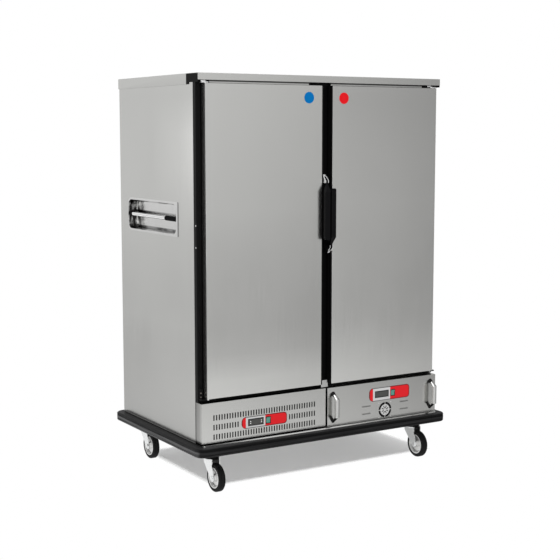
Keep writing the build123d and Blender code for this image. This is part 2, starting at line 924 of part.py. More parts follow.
def louvre_hood(x, z):
    """Pressed louvre: a wedge hood, open along its lower edge."""
    start = drawer_front_y
    hood = [(start, z + louvre_height), (start - louvre_depth, z), (start, z)]
    inner_top = z + louvre_height - 2 * outer_sheet
    inner = [(start, inner_top), (start - louvre_depth + outer_sheet, z), (start, z)]
    reach = louvre_length / 2
    wedge = side_profile(hood, x - reach, x + reach)
    return wedge - side_profile(inner, x - reach + outer_sheet, x + reach - outer_sheet)


def make_drawer_front():
    windows = Pos(hot_overlay_x, hot_overlay_z) * control_windows(module_fit)
    vents = [
        Pos(x, z + (louvre_height - 2 * outer_sheet) / 2)
        * Rectangle(louvre_length - 2 * outer_sheet, louvre_height - 2 * outer_sheet)
        for x, z in louvre_places()
    ]
    holes = Sketch() + windows + fan_grille() + vents
    pan = fascia_pan(drawer_left, drawer_right, drawer_front_y, drawer_return, drawer_bottom, holes)
    for x, z in louvre_places():
        pan += louvre_hood(x, z)
    return pan


def make_drawer_box():
    """Sheet tray behind the drawer's front, riding on the base's two runners."""
    left = drawer_left + drawer_side_gap
    right = drawer_right - drawer_side_gap
    start = drawer_front_y + outer_sheet
    stop = start + drawer_length
    top = drawer_floor + drawer_side_height
    box = slab((left, right), (start, stop), (drawer_floor, top))
    return box - slab(
        (left + outer_sheet, right - outer_sheet),
        (start, stop - outer_sheet),
        (drawer_floor + outer_sheet, top),
    )


def handle_places():
    middle = (fascia_bottom + fascia_top) / 2 - handle_drop
    return [(drawer_left + handle_inset, middle), (drawer_right - handle_inset, middle)]


def handle_section():
    return RectangleRounded(handle_grip_width, handle_grip_depth, handle_grip_radius)


def make_handle_grips():
    """Rounded bow grips, standing off the drawer's front."""
    grips = []
    for x, z in handle_places():
        start = Pos(x, drawer_front_y - handle_standoff, z - handle_grip_length / 2)
        grips.append(start * extrude(handle_section(), amount=handle_grip_length))
    return group(grips)


def handle_foot(x, z, sign):
    """Black foot that slants in from the drawer's front to one end of a grip."""
    base_z = z + sign * handle_foot_spacing / 2
    end_z = z + sign * handle_grip_length / 2
    base_plane = Plane(origin=(x, drawer_front_y, base_z), x_dir=(1, 0, 0), z_dir=(0, -1, 0))
    end = (x, drawer_front_y - handle_standoff, end_z)
    end_plane = Plane(origin=end, x_dir=(1, 0, 0), z_dir=(0, 0, -sign))
    base = base_plane * RectangleRounded(handle_foot_base, handle_foot_height, handle_foot_radius)
    return loft([base, end_plane * handle_section()])


def make_handle_feet():
    return group([handle_foot(x, z, sign) for x, z in handle_places() for sign in (-1, 1)])


def fan_blade(root_radius, tip_radius, length):
    """One twisted blade along +X, turning about Z."""
    sections = []
    for radius, pitch in ((root_radius, rotor_root_pitch), (tip_radius, rotor_tip_pitch)):
        chord = length / sin(radians(pitch))
        chord_way = (0, cos(radians(pitch)), sin(radians(pitch)))
        plane = Plane(origin=(radius, 0, 0), x_dir=chord_way, z_dir=(1, 0, 0))
        sections.append(plane * Rectangle(chord - rotor_blade_sheet, rotor_blade_sheet))
    return loft(sections, ruled=True)


def fan_rotor(hub, tip_radius, length):
    """Hub with twisted blades and a bore that runs on its motor's shaft, about Z."""
    rotor = Cylinder(hub, length)
    for step in range(rotor_blades):
        rotor += Rot(0, 0, 360 * step / rotor_blades) * fan_blade(hub - rotor_blade_sheet, tip_radius, length)
    rotor &= Cylinder(tip_radius, length)
    return rotor - Cylinder(shaft_radius + running_gap, length)


def drawer_fan_y():
    return drawer_front_y + outer_sheet + fan_depth / 2


def make_drawer_fan_frame():
    """Square axial fan frame with a motor on four arms at its back."""
    back = fan_depth / 2
    arm = fan_arm_depth
    body = Box(fan_size, fan_size, fan_depth) - Cylinder(fan_bore_radius, fan_depth)
    spokes = Box(2 * fan_bore_radius, motor_arm_width, arm) + Box(motor_arm_width, 2 * fan_bore_radius, arm)
    motor = Cylinder(motor_radius / 2, arm)
    body += Pos(0, 0, -back + arm / 2) * (spokes + motor)
    body += Pos(0, 0, -back / 2) * Cylinder(shaft_radius, back)
    return Pos(fan_x, drawer_fan_y(), fan_z) * Rot(90, 0, 0) * body


def make_drawer_fan_rotor():
    arm = fan_arm_depth
    length = fan_depth - arm - 2 * rotor_tip_gap
    rotor = fan_rotor(motor_radius / 2, fan_bore_radius - rotor_tip_gap, length)
    return Pos(fan_x, drawer_fan_y(), fan_z) * Rot(90, 0, 0) * Pos(0, 0, arm / 2) * rotor


def heater_z():
    return drawer_floor + outer_sheet + heater_height


def make_heating_element():
    """Tubular element bent to and fro across the drawer, on two combs that stand on its floor."""
    middle = (drawer_left + drawer_right) / 2
    start = drawer_front_y + heater_front
    side = heater_run_length / 2
    points = []
    for run in range(heater_runs):
        y = start + run * heater_run_pitch
        ends = (middle - side, middle + side) if run % 2 == 0 else (middle + side, middle - side)
        points += [(ends[0], y, heater_z()), (ends[1], y, heater_z())]
    path = FilletPolyline(*points, radius=heater_run_pitch / 2 - heater_tube_radius)
    section = Plane(origin=path @ 0, z_dir=path % 0) * Circle(heater_tube_radius)
    tube = sweep(section, path=path)
    stop = start + (heater_runs - 1) * heater_run_pitch
    combs = []
    for sign in (-1, 1):
        x = middle + sign * heater_run_length / 4
        comb = slab(
            (x - heater_leg_sheet / 2, x + heater_leg_sheet / 2),
            (start - heater_leg_width, stop + heater_leg_width),
            (drawer_floor + outer_sheet, heater_z() + heater_leg_width),
        )
        for run in range(heater_runs):
            y = start + run * heater_run_pitch
            reach = x - heater_leg_sheet, x + heater_leg_sheet
            comb -= cross_bar(heater_tube_radius + running_gap, y, heater_z(), *reach)
        combs.append(comb)
    return group([tube] + combs)


# Cooling machine
def condenser_y():
    return fascia_front + condenser_front_gap + condenser_depth / 2


def condenser_z():
    return base_top + condenser_foot + condenser_height / 2


def shroud_y():
    return condenser_y() + condenser_depth / 2 + shroud_gap


def make_condenser():
    """Flat-tube coil between two headers on feet, with a fan shroud and motor behind it."""
    half = condenser_width / 2
    coil = None
    pitch_x = (condenser_width - 2 * condenser_header_radius) / (condenser_fins + 1)
    for fin in range(condenser_fins):
        x = -half + condenser_header_radius + (fin + 1) * pitch_x
        sheet = Pos(x, 0, 0) * Box(condenser_fin_sheet, condenser_depth, condenser_height)
        coil = sheet if coil is None else coil + sheet
    pitch_z = condenser_height / condenser_tubes
    for tube in range(condenser_tubes):
        z = (tube - (condenser_tubes - 1) / 2) * pitch_z
        coil += Pos(0, 0, z) * Box(condenser_width, condenser_depth / 2, condenser_tube_height)
    for sign in (-1, 1):
        header = Cylinder(condenser_header_radius, condenser_height)
        foot = Box(2 * condenser_header_radius, condenser_depth, condenser_foot)
        coil += Pos(sign * half, 0, 0) * header
        coil += Pos(sign * half, 0, -(condenser_height + condenser_foot) / 2) * foot
    coil = Pos(machine_x, condenser_y(), condenser_z()) * coil
    plate = Box(condenser_width, condenser_height + condenser_foot, shroud_sheet)
    shroud = plate - Cylinder(shroud_bore_radius, shroud_sheet)
    shroud += Box(2 * shroud_bore_radius, motor_arm_width, shroud_sheet)
    shroud += Box(motor_arm_width, 2 * shroud_bore_radius, shroud_sheet)
    shroud += Pos(0, 0, -motor_length / 2) * Cylinder(motor_radius, motor_length)
    shaft_length = shroud_sheet + condenser_rotor_length
    shroud += Pos(0, 0, shaft_length / 2) * Cylinder(shaft_radius, shaft_length)
    shroud_z = base_top + (condenser_height + condenser_foot) / 2
    shroud = Pos(machine_x, shroud_y() + condenser_rotor_length, shroud_z) * Rot(90, 0, 0) * shroud
    return group([coil, shroud])


def make_condenser_fan_rotor():
    rotor_length = condenser_rotor_length - 2 * rotor_tip_gap
    rotor = fan_rotor(condenser_rotor_hub, shroud_bore_radius - rotor_tip_gap, rotor_length)
    shroud_z = base_top + (condenser_height + condenser_foot) / 2
    y = shroud_y() + condenser_rotor_length - shroud_sheet / 2 - condenser_rotor_length / 2
    return Pos(machine_x, y, shroud_z) * Rot(90, 0, 0) * rotor


def make_compressor():
    """Domed hermetic shell on a foot plate, with its two pipe stubs."""
    height = compressor_height - compressor_foot
    shell = Pos(0, 0, height / 2) * Cylinder(compressor_radius, height)
    shell = fillet(shell.edges().sort_by(Axis.Z)[-1], compressor_dome)
    foot = Box(compressor_foot_width, compressor_foot_depth, compressor_foot)
    body = shell + Pos(0, 0, -compressor_foot / 2) * foot
    reach = compressor_radius + compressor_stub_length
    for stub_z in compressor_stub_heights:
        body += cross_bar(compressor_stub_radius, 0, stub_z, compressor_radius / 2, reach)
    return Pos(machine_x, compressor_y, base_top + compressor_foot) * body


def evaporator_center():
    x = -(bay_outside + bay_inside) / 2
    y = (panel_front + bay_back) / 2
    return x, y


def make_evaporator_cover():
    """Sheet cover of the evaporator, open to the ceiling, with a fan opening below and slots in front."""
    x, y = evaporator_center()
    bottom = bay_top - evaporator_height
    half_x = evaporator_width / 2
    half_y = evaporator_depth / 2
    cover = slab((x - half_x, x + half_x), (y - half_y, y + half_y), (bottom, bay_top))
    cover -= slab(
        (x - half_x + evaporator_sheet, x + half_x - evaporator_sheet),
        (y - half_y + evaporator_sheet, y + half_y - evaporator_sheet),
        (bottom + evaporator_sheet, bay_top),
    )
    cover -= upright(evaporator_bore_radius, x, y, bottom, bottom + evaporator_sheet)
    arm_z = (bottom, bottom + evaporator_sheet)
    reach = evaporator_bore_radius + evaporator_sheet
    cover += slab((x - reach, x + reach), (y - evaporator_arm_width / 2, y + evaporator_arm_width / 2), arm_z)
    cover += slab((x - evaporator_arm_width / 2, x + evaporator_arm_width / 2), (y - reach, y + reach), arm_z)
    motor_top = bottom + evaporator_sheet + evaporator_motor_length
    cover += upright(motor_radius, x, y, bottom, motor_top)
    cover += upright(shaft_radius, x, y, motor_top, motor_top + evaporator_rotor_length)
    pitch = evaporator_width / (evaporator_slot_count + 1)
    for slot in range(evaporator_slot_count):
        slot_x = x - half_x + (slot + 1) * pitch
        slot_z = bottom + evaporator_height / 2
        cover -= Pos(slot_x, y, slot_z) * Box(pitch / 2, evaporator_depth, evaporator_slot_height)
    return cover


def make_evaporator_fan_rotor():
    x, y = evaporator_center()
    motor_top = bay_top - evaporator_height + evaporator_sheet + evaporator_motor_length
    length = evaporator_rotor_length - 2 * rotor_tip_gap
    rotor = fan_rotor(evaporator_rotor_hub, evaporator_bore_radius - rotor_tip_gap, length)
    return Pos(x, y, motor_top + evaporator_rotor_length / 2) * rotor


def make_mains_gland():
    """Threaded gland with its nut, through the lower back sheet; bored for a cable."""
    inner_end = body_back - gland_length / 2
    outer_end = body_back + gland_length
    body = deep_bar(gland_radius - running_gap, gland_x, gland_z, inner_end, outer_end)
    hexagon = Plane(origin=(gland_x, body_back + gland_nut, gland_z), x_dir=(1, 0, 0), z_dir=(0, -1, 0))
    body += extrude(hexagon * RegularPolygon(gland_nut_radius, 6), amount=gland_nut)
    return body - deep_bar(gland_bore_radius, gland_x, gland_z, inner_end, outer_end)


# Hinges
def hinge_bracket(seat_z, direction, leg_height, outer_reach):
    """Left-hand bracket: an arm over the door's end, a leg on the frame, and the pin into the door."""
    near = seat_z + direction * hinge_door_gap
    far = near + direction * hinge_plate
    x_span = (-hinge_x - outer_reach, -hinge_x + hinge_inner_reach)
    arm = slab(x_span, (hinge_y - hinge_nose, frame_front), (near, far))
    front_corners = arm.edges().filter_by(Axis.Z).group_by(Axis.Y)[0]
    arm = fillet(front_corners, hinge_nose)
    leg = slab(x_span, (frame_front - hinge_plate, frame_front), (near, near + direction * leg_height))
    pin = upright(hinge_pin_radius, -hinge_x, hinge_y, far, near - direction * hinge_pin_length)
    return arm + leg + pin


def make_hinge_brackets():
    """Two brackets to a door; the lower one has a tab up the frame beside the door."""
    top = hinge_bracket(door_top, 1, hinge_top_leg_height, hinge_top_reach)
    bottom = hinge_bracket(door_bottom, -1, hinge_leg_height, hinge_bottom_reach)
    bottom += slab(
        (-hinge_x - hinge_bottom_reach, -door_outside - hinge_tab_gap),
        (frame_front - hinge_plate, frame_front),
        (door_bottom - hinge_door_gap - hinge_plate, door_bottom + hinge_tab_rise),
    )
    return group([top, bottom, opposite(top), opposite(bottom)])


# Doors, made for the left side
def door_span():
    return (-door_outside, -door_inside)


def make_door_skin():
    """Outer door pan with folded returns and a bored boss at each hinge."""
    x_from, x_to = door_span()
    back = door_back - outer_sheet
    skin = slab((x_from, x_to), (door_front, back), (door_bottom, door_top))
    upright_edges = skin.edges().filter_by(Axis.Z).group_by(Axis.Y)[0]
    skin = fillet(upright_edges, lid_edge_radius)
    skin -= slab(
        (x_from + outer_sheet, x_to - outer_sheet),
        (door_front + outer_sheet, back),
        (door_bottom + outer_sheet, door_top - outer_sheet),
    )
    for end, direction in ((door_top, -1), (door_bottom, 1)):
        boss_end = end + direction * (hinge_pin_length + hinge_door_gap)
        skin += upright(hinge_boss_radius, -hinge_x, hinge_y, end + direction * outer_sheet, boss_end)
        skin -= upright(hinge_pin_radius + running_gap, -hinge_x, hinge_y, end, boss_end)
    return skin


def make_door_inner_pan():
    """Back sheet of the door with a shallow pressed field inside the gasket."""
    x_from, x_to = door_span()
    sheet = slab((x_from, x_to), (door_back - outer_sheet, door_back), (door_bottom, door_top))
    field_from = x_from + gasket_hinge_inset + emboss_inset
    field_to = x_to - gasket_latch_inset - emboss_inset
    end_inset = gasket_end_inset + emboss_inset
    width = field_to - field_from
    height = door_height - 2 * end_inset
    middle = Pos((field_from + field_to) / 2, door_bottom + door_height / 2)
    plane = Plane(origin=(0, door_back, 0), x_dir=(1, 0, 0), z_dir=(0, -1, 0))
    field = middle * RectangleRounded(width, height, emboss_radius)
    hollow = offset(field, -outer_sheet)
    sheet += extrude(plane * field, amount=-emboss_height, taper=emboss_taper)
    inner_plane = Plane(origin=(0, door_back - outer_sheet, 0), x_dir=(1, 0, 0), z_dir=(0, -1, 0))
    return sheet - extrude(inner_plane * hollow, amount=-emboss_height, taper=emboss_taper)


def make_door_gasket():
    """Soft seal frame on the back of the door."""
    x_from = -door_outside + gasket_hinge_inset
    x_to = -door_inside - gasket_latch_inset
    z_from = door_bottom + gasket_end_inset
    z_to = door_top - gasket_end_inset
    y_span = (door_back, frame_front - gasket_gap_left)
    ring = slab((x_from, x_to), y_span, (z_from, z_to))
    return ring - slab(
        (x_from + gasket_width, x_to - gasket_width), y_span, (z_from + gasket_width, z_to - gasket_width)
    )


def make_door_edge_profile():
    """Black extrusion down the door's free edge, with a finger groove."""
    profile = slab((-door_inside, -door_latch_face), (door_front, door_back), (door_bottom, door_top))
    middle = (door_front + door_back) / 2
    return profile - slab(
        (-door_latch_face - edge_groove_depth, -door_latch_face),
        (middle - edge_groove_width / 2, middle + edge_groove_width / 2),
        (door_bottom, door_top),
    )


# Latches, made for the left door
def latch_neck_span():
    return (latch_neck_x - latch_neck_width / 2, latch_neck_x + latch_neck_width / 2)


def latch_ear_spans():
    inner = latch_neck_width / 2 + latch_ear_gap
    near = latch_neck_x + inner
    return ((-door_latch_face, latch_neck_x - inner), (near, near + latch_ear))


def make_latch_bracket():
    """Bright clevis on the door's edge: two ears joined above the lever's neck, with the pivot pin."""
    front = latch_pivot_y - latch_neck_radius - latch_ear_gap
    back = door_back - latch_ear_back
    low = latch_pivot_z - latch_ear_height
    high = latch_pivot_z + latch_ear_rise
    bridge = latch_pivot_z + latch_bridge_rise
    shoulder = door_front + latch_ear_back
    ear = [(front, low), (front, latch_pivot_z), (shoulder, high), (back, high), (back, low)]
    spans = latch_ear_spans()
    bracket = side_profile(ear, *spans[0]) + side_profile(ear, *spans[1])
    bracket += slab((spans[0][0], spans[1][1]), (shoulder, back), (bridge, high))
    return bracket + cross_bar(latch_pin_radius, latch_pivot_y, latch_pivot_z, spans[0][0], spans[1][1])


def latch_grip():
    """Long grip, rounded at its free end and tapered towards the pivot in both views."""
    back = door_front - latch_grip_back
    front = back - latch_grip_depth
    end = latch_center_z + latch_grip_end
    taper_from = latch_center_z + latch_taper_start
    taper_to = latch_center_z + latch_taper_end
    neck_front = latch_pivot_y - latch_neck_radius
    half = latch_grip_width / 2
    side = [(back, end), (front, end), (front, taper_from), (neck_front, taper_to), (back, taper_to)]
    block = side_profile(side, latch_x - half, latch_x + half)
    block = fillet(block.edges().filter_by(Axis.Z), latch_edge_radius)
    neck = latch_neck_span()
    face = make_face(
        Polyline(
            (latch_x - half, end),
            (latch_x + half, end),
            (latch_x + half, taper_from),
            (neck[1], taper_to),
            (neck[0], taper_to),
            (latch_x - half, taper_from),
            close=True,
        )
    )
    face = fillet(face.vertices().group_by(Axis.Y)[0], latch_end_radius)
    return block & front_sheet(face, front, latch_grip_depth)


def make_latch_lever():
    """Black lever: the grip, a neck on the pivot, and a tail that reaches back into the keeper."""
    grip_back = door_front - latch_grip_back
    neck_from = latch_center_z + latch_taper_end - latch_edge_radius
    neck_front = latch_pivot_y - latch_neck_radius
    neck_x = latch_neck_span()
    tail_back = frame_front - keeper_plate - latch_tail_gap
    tail_z = (latch_pivot_z - latch_tail_height / 2, latch_pivot_z + latch_tail_height / 2)
    neck = slab(neck_x, (neck_front, grip_back), (neck_from, latch_pivot_z))
    neck += cross_bar(latch_neck_radius, latch_pivot_y, latch_pivot_z, *neck_x)
    neck += slab(neck_x, (latch_pivot_y, tail_back), tail_z)
    lever = latch_grip() + neck
    return lever - cross_bar(latch_pin_radius + running_gap, latch_pivot_y, latch_pivot_z, *neck_x)


def half_turn(shape):
    """The left latch's piece turned over for the right door."""
    return Pos(0, 0, latch_center_z) * Rot(0, 180, 0) * Pos(0, 0, -latch_center_z) * shape


def make_mullion_keepers():
    """Bright keeper channels behind the latch tails, and the small bracket at the mullion's foot."""
    neck_x = latch_neck_span()
    left = neck_x[0] - keeper_side_gap
    right = neck_x[1] + keeper_side_gap
    z_span = (latch_pivot_z - keeper_drop, latch_pivot_z + keeper_rise)
    across = (left - keeper_cheek, right + keeper_cheek)
    plate = slab(across, (frame_front - keeper_plate, frame_front), z_span)
    for inner, outer in ((left, left - keeper_cheek), (right, right + keeper_cheek)):
        plate += slab((inner, outer), (frame_front - keeper_depth, frame_front), z_span)
    half = foot_bracket_width / 2
    front = frame_front - foot_bracket_depth
    bottom = frame_bottom + foot_bracket_sheet
    top = bottom + foot_bracket_height
    foot = slab((-half, half), (front, frame_front), (bottom, top))
    inside = (foot_bracket_sheet - half, half - foot_bracket_sheet)
    foot -= slab(inside, (front + foot_bracket_sheet, frame_front), (bottom, top - foot_bracket_sheet))
    return group([plate, half_turn(plate), foot])


# Casters
def make_caster_plate(x, y):
    """Fixed top plate with its ball race and kingpin."""
    under = caster_height - caster_plate
    plate = Box(caster_plate_length, caster_plate_width, caster_plate)
    plate = fillet(plate.edges().filter_by(Axis.Z), caster_plate)
    body = Pos(0, 0, under + caster_plate / 2) * plate
    race_bottom = under - race_height
    body += upright(race_radius, 0, 0, race_bottom, under)
    nut_top = race_bottom - crown_thickness - 2 * crown_gap
    body += upright(kingpin_radius, 0, 0, nut_top, race_bottom)
    body += upright(kingpin_nut_radius, 0, 0, nut_top - kingpin_nut, nut_top)
    return Pos(x, y, 0) * body


def fork_crown_top():
    return caster_height - caster_plate - race_height - crown_gap


def make_caster_fork(x, y):
    """Pressed fork: a crown under the race and two tapering legs down to the axle bolt."""
    top = fork_crown_top()
    crown_bottom = top - crown_thickness
    crown = upright(crown_radius, 0, 0, crown_bottom, top)
    span = fork_inside + fork_sheet
    crown += slab((-span, span), (-fork_top_width / 2, fork_top_width / 2), (crown_bottom, top))
    half = fork_top_width / 2
    shoulder = crown_bottom - fork_foot_radius
    axle = (-caster_trail, axle_z)
    reach_y = fork_foot_radius * cos(radians(fork_foot_angle))
    reach_z = fork_foot_radius * sin(radians(fork_foot_angle))
    foot = [(axle[0] + sign * reach_y, axle[1] - reach_z) for sign in (-1, 1)]
    edges = Polyline(foot[1], (half, shoulder), (half, top), (-half, top), (-half, shoulder), foot[0])
    edges += ThreePointArc(foot[0], (axle[0], axle[1] - fork_foot_radius), foot[1])
    leg = extrude(Plane.YZ * make_face(edges), amount=fork_sheet)
    fork = crown + Pos(fork_inside, 0, 0) * leg + Pos(-span, 0, 0) * leg
    rib_z = (crown_bottom - fork_rib, crown_bottom)
    fork += slab((-span, span), (half - fork_sheet, half), rib_z)
    fork -= upright(kingpin_radius + running_gap, 0, 0, crown_bottom, top)
    fork -= cross_bar(axle_radius + running_gap, axle[0], axle[1], -span, span)
    bolt_end = span + axle_head
    bolt = cross_bar(axle_radius, axle[0], axle[1], -bolt_end, bolt_end)
    for sign in (-1, 1):
        plane = Plane(origin=(sign * span, axle[0], axle[1]), x_dir=(0, 1, 0), z_dir=(sign, 0, 0))
        bolt += extrude(plane * RegularPolygon(axle_head_radius, 6), amount=axle_head)
    return group([Pos(x, y, 0) * fork, Pos(x, y, 0) * bolt])


def rim_radius():
    return wheel_radius - tyre_depth


def make_wheel_rim(x, y):
    """Pressed wheel centre: hub, dished web and a lipped rim."""
    outer = rim_radius()
    half = wheel_width / 2
    web = rim_web / 2
    bore = axle_radius + running_gap
    half_outline = [
        (bore, hub_length / 2),
        (hub_radius, hub_length / 2),
        (hub_radius + rim_web_dish, web),
        (outer - rim_lip - rim_web_dish, web),
        (outer - rim_lip, half - rim_lip),
        (outer - rim_lip, half),
        (outer, half),
    ]
    far_side = [(radius, -along) for radius, along in reversed(half_outline)]
    face = make_face(Polyline(*half_outline, *far_side, close=True))
    rim = revolve(Plane.XZ * face, axis=Axis.Z)
    return Pos(x, y - caster_trail, axle_z) * Rot(0, 90, 0) * rim


def make_tyre(x, y):
    """Solid tyre with round shoulders and two tread grooves."""
    inner = rim_radius() + rim_fit
    half = wheel_width / 2
    section = Pos((inner + wheel_radius) / 2, 0) * Rectangle(wheel_radius - inner, wheel_width)
    section = fillet(section.vertices().group_by(Axis.X)[-1], tyre_shoulder)
    for sign in (-1, 1):
        place = Pos(wheel_radius, sign * (half - tyre_shoulder - tread_groove))
        section -= place * Rot(0, 0, 45) * Rectangle(tread_groove, tread_groove)
    tyre = revolve(Plane.XZ * section, axis=Axis.Z)
    return Pos(x, y - caster_trail, axle_z) * Rot(0, 90, 0) * tyre


def trolley_nodes():
    hot_front = drawer_front_y
    nodes = {
        "base_tray": make_base_tray(),
        "bumper_rails": group(bumper_pieces()),
        "side_panels": make_side_panels(),
        "back_panel": make_back_panel(),
        "lid": make_lid(),
        "lid_corner_caps": make_lid_corner_caps(),
        "front_frame": make_front_frame(),
        "insulation": make_insulation(),
        "liners": make_liners(),
        "rack_ladders": make_rack_ladders(),
        "grip_dishes": group([make_grip_dish(), opposite(make_grip_dish())]),
        "grip_bars": make_grip_bars(),
        "grip_bushes": make_grip_bushes(),
        "cold_fascia": make_cold_fascia(),
        "cold_overlay": make_overlay(cold_overlay_x, cold_overlay_z, cold_overlay_height, fascia_front),
        "cold_control_module": make_control_module(cold_overlay_x, cold_overlay_z, fascia_front),
        "cold_rocker": make_rocker(cold_overlay_x, cold_overlay_z, fascia_front),
        "compressor": make_compressor(),
        "condenser": make_condenser(),
        "condenser_fan_rotor": make_condenser_fan_rotor(),
        "evaporator_cover": make_evaporator_cover(),
        "evaporator_fan_rotor": make_evaporator_fan_rotor(),
        "mains_gland": make_mains_gland(),
        "hinge_brackets": make_hinge_brackets(),
        "mullion_keepers": make_mullion_keepers(),
        "drawer_front": make_drawer_front(),
        "drawer_box": make_drawer_box(),
        "handle_grips": make_handle_grips(),
        "handle_feet": make_handle_feet(),
        "hot_overlay": make_overlay(hot_overlay_x, hot_overlay_z, hot_overlay_height, hot_front),
        "hot_control_module": make_control_module(hot_overlay_x, hot_overlay_z, hot_front),
        "hot_rocker": make_rocker(hot_overlay_x, hot_overlay_z, hot_front),
        "heating_element": make_heating_element(),
        "drawer_fan_frame": make_drawer_fan_frame(),
        "drawer_fan_rotor": make_drawer_fan_rotor(),
    }
    door_makers = {
        "door_skin": make_door_skin,
        "door_inner_pan": make_door_inner_pan,
        "door_gasket": make_door_gasket,
        "door_edge_profile": make_door_edge_profile,
    }
    for name, maker in door_makers.items():
        left = maker()
        nodes[f"left_{name}"] = left
        nodes[f"right_{name}"] = opposite(left)
    latch_makers = {"latch_bracket": make_latch_bracket, "latch_lever": make_latch_lever}
    for name, maker in latch_makers.items():
        left = maker()
        nodes[f"left_{name}"] = left
        nodes[f"right_{name}"] = half_turn(left)
    places = caster_places()
    nodes["caster_plates"] = group([make_caster_plate(x, y) for x, y in places.values()])
    for corner, (x, y) in places.items():
        nodes[f"{corner}_fork"] = make_caster_fork(x, y)
        nodes[f"{corner}_rim"] = make_wheel_rim(x, y)
        nodes[f"{corner}_tyre"] = make_tyre(x, y)
    return nodes


if __name__ == "__main__":
    os.makedirs("parts", exist_ok=True)
    for node, shape in trolley_nodes().items():
        export_step(shape, f"parts/{node}.step")
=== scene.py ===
import json
import math
from functools import wraps

import bmesh
import bpy
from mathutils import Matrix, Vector


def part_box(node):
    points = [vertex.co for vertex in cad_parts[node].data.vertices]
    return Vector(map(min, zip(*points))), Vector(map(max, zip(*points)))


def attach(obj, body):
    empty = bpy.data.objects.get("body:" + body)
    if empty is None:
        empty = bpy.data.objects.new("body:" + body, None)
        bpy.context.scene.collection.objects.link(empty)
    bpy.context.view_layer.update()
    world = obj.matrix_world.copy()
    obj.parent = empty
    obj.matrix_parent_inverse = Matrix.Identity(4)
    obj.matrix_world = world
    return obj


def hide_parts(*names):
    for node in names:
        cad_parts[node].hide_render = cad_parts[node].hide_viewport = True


bl_info = {
    "name": "Banquet trolley finish",
    "version": (1, 0, 0),
    "blender": (4, 5, 0),
    "location": "View3D > Sidebar > Trolley",
    "description": "Finishes the hot and cold banquet trolley: steel, mouldings, controls, casters",
    "category": "Object",
}

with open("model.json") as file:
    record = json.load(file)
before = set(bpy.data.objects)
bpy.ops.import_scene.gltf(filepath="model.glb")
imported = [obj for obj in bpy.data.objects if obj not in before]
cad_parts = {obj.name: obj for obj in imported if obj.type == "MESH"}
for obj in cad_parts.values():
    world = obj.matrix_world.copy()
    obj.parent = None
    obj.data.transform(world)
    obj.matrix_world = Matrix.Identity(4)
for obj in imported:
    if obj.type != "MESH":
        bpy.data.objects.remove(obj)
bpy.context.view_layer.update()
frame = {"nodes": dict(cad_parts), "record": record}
record = frame["record"]
body_of = {
    node: body for body, nodes in record["behaviour"]["bodies"].items() for node in nodes
}

SIDES = ("left", "right")
CORNERS = ("front_left", "front_right", "back_left", "back_right")
SIGNS = (-1, 1)
FRONT = (0.0, -1.0, 0.0)
DOWN = (0.0, 0.0, -1.0)
WHITE = (1.0, 1.0, 1.0)

# Brushed steel: the axis its grain runs along, and its roughness
ACROSS, DEEP, UPRIGHT = 0, 1, 2
BRIGHT, BRUSHED, DULL = 0.17, 0.20, 0.26

# Degrees between faces: less looks smooth, and more may be rounded
SMOOTH_BELOW = 32.0
ROUND_ABOVE = 38.0

# Measures of the CAD solids that finishes and fasteners follow, in metres
LID_LIP = 0.029  # height of the lid's front lip
FAN_GUARD = 0.0265  # radius of the drawer's round fan guard
DISH_DEPTH = 0.0434  # from a grip dish's flange to its floor
FOOT_BRACKET = 0.040  # height of the bracket at the mullion's foot
PIN_INSET = 0.031  # from a hinge bracket's outer end to its pin
PIN_DEPTH = 0.008  # from a hinge bracket's front to its pin
KNUCKLE = 0.0088  # reach of the bright plating round a hinge pin
DISPLAY_WIDTH = 0.078  # of a control module, without its switch cup
PLATE_SHEET = 0.0042  # a caster plate's thickness, with a little to spare
FORK_INSIDE = 0.0176  # from a fork's middle to its plated outer faces


# Settings
def length(label, words, default):
    """A length that the sidebar shows."""
    return bpy.props.FloatProperty(name=label, description=words, default=default, unit="LENGTH")


def angle(label, words, degrees):
    """An angle that the sidebar shows."""
    return bpy.props.FloatProperty(
        name=label, description=words, default=math.radians(degrees), subtype="ANGLE"
    )


def colour(label, words, default):
    """A colour that the sidebar shows."""
    return bpy.props.FloatVectorProperty(
        name=label, description=words, default=default, size=3, min=0.0, max=1.0, subtype="COLOR"
    )


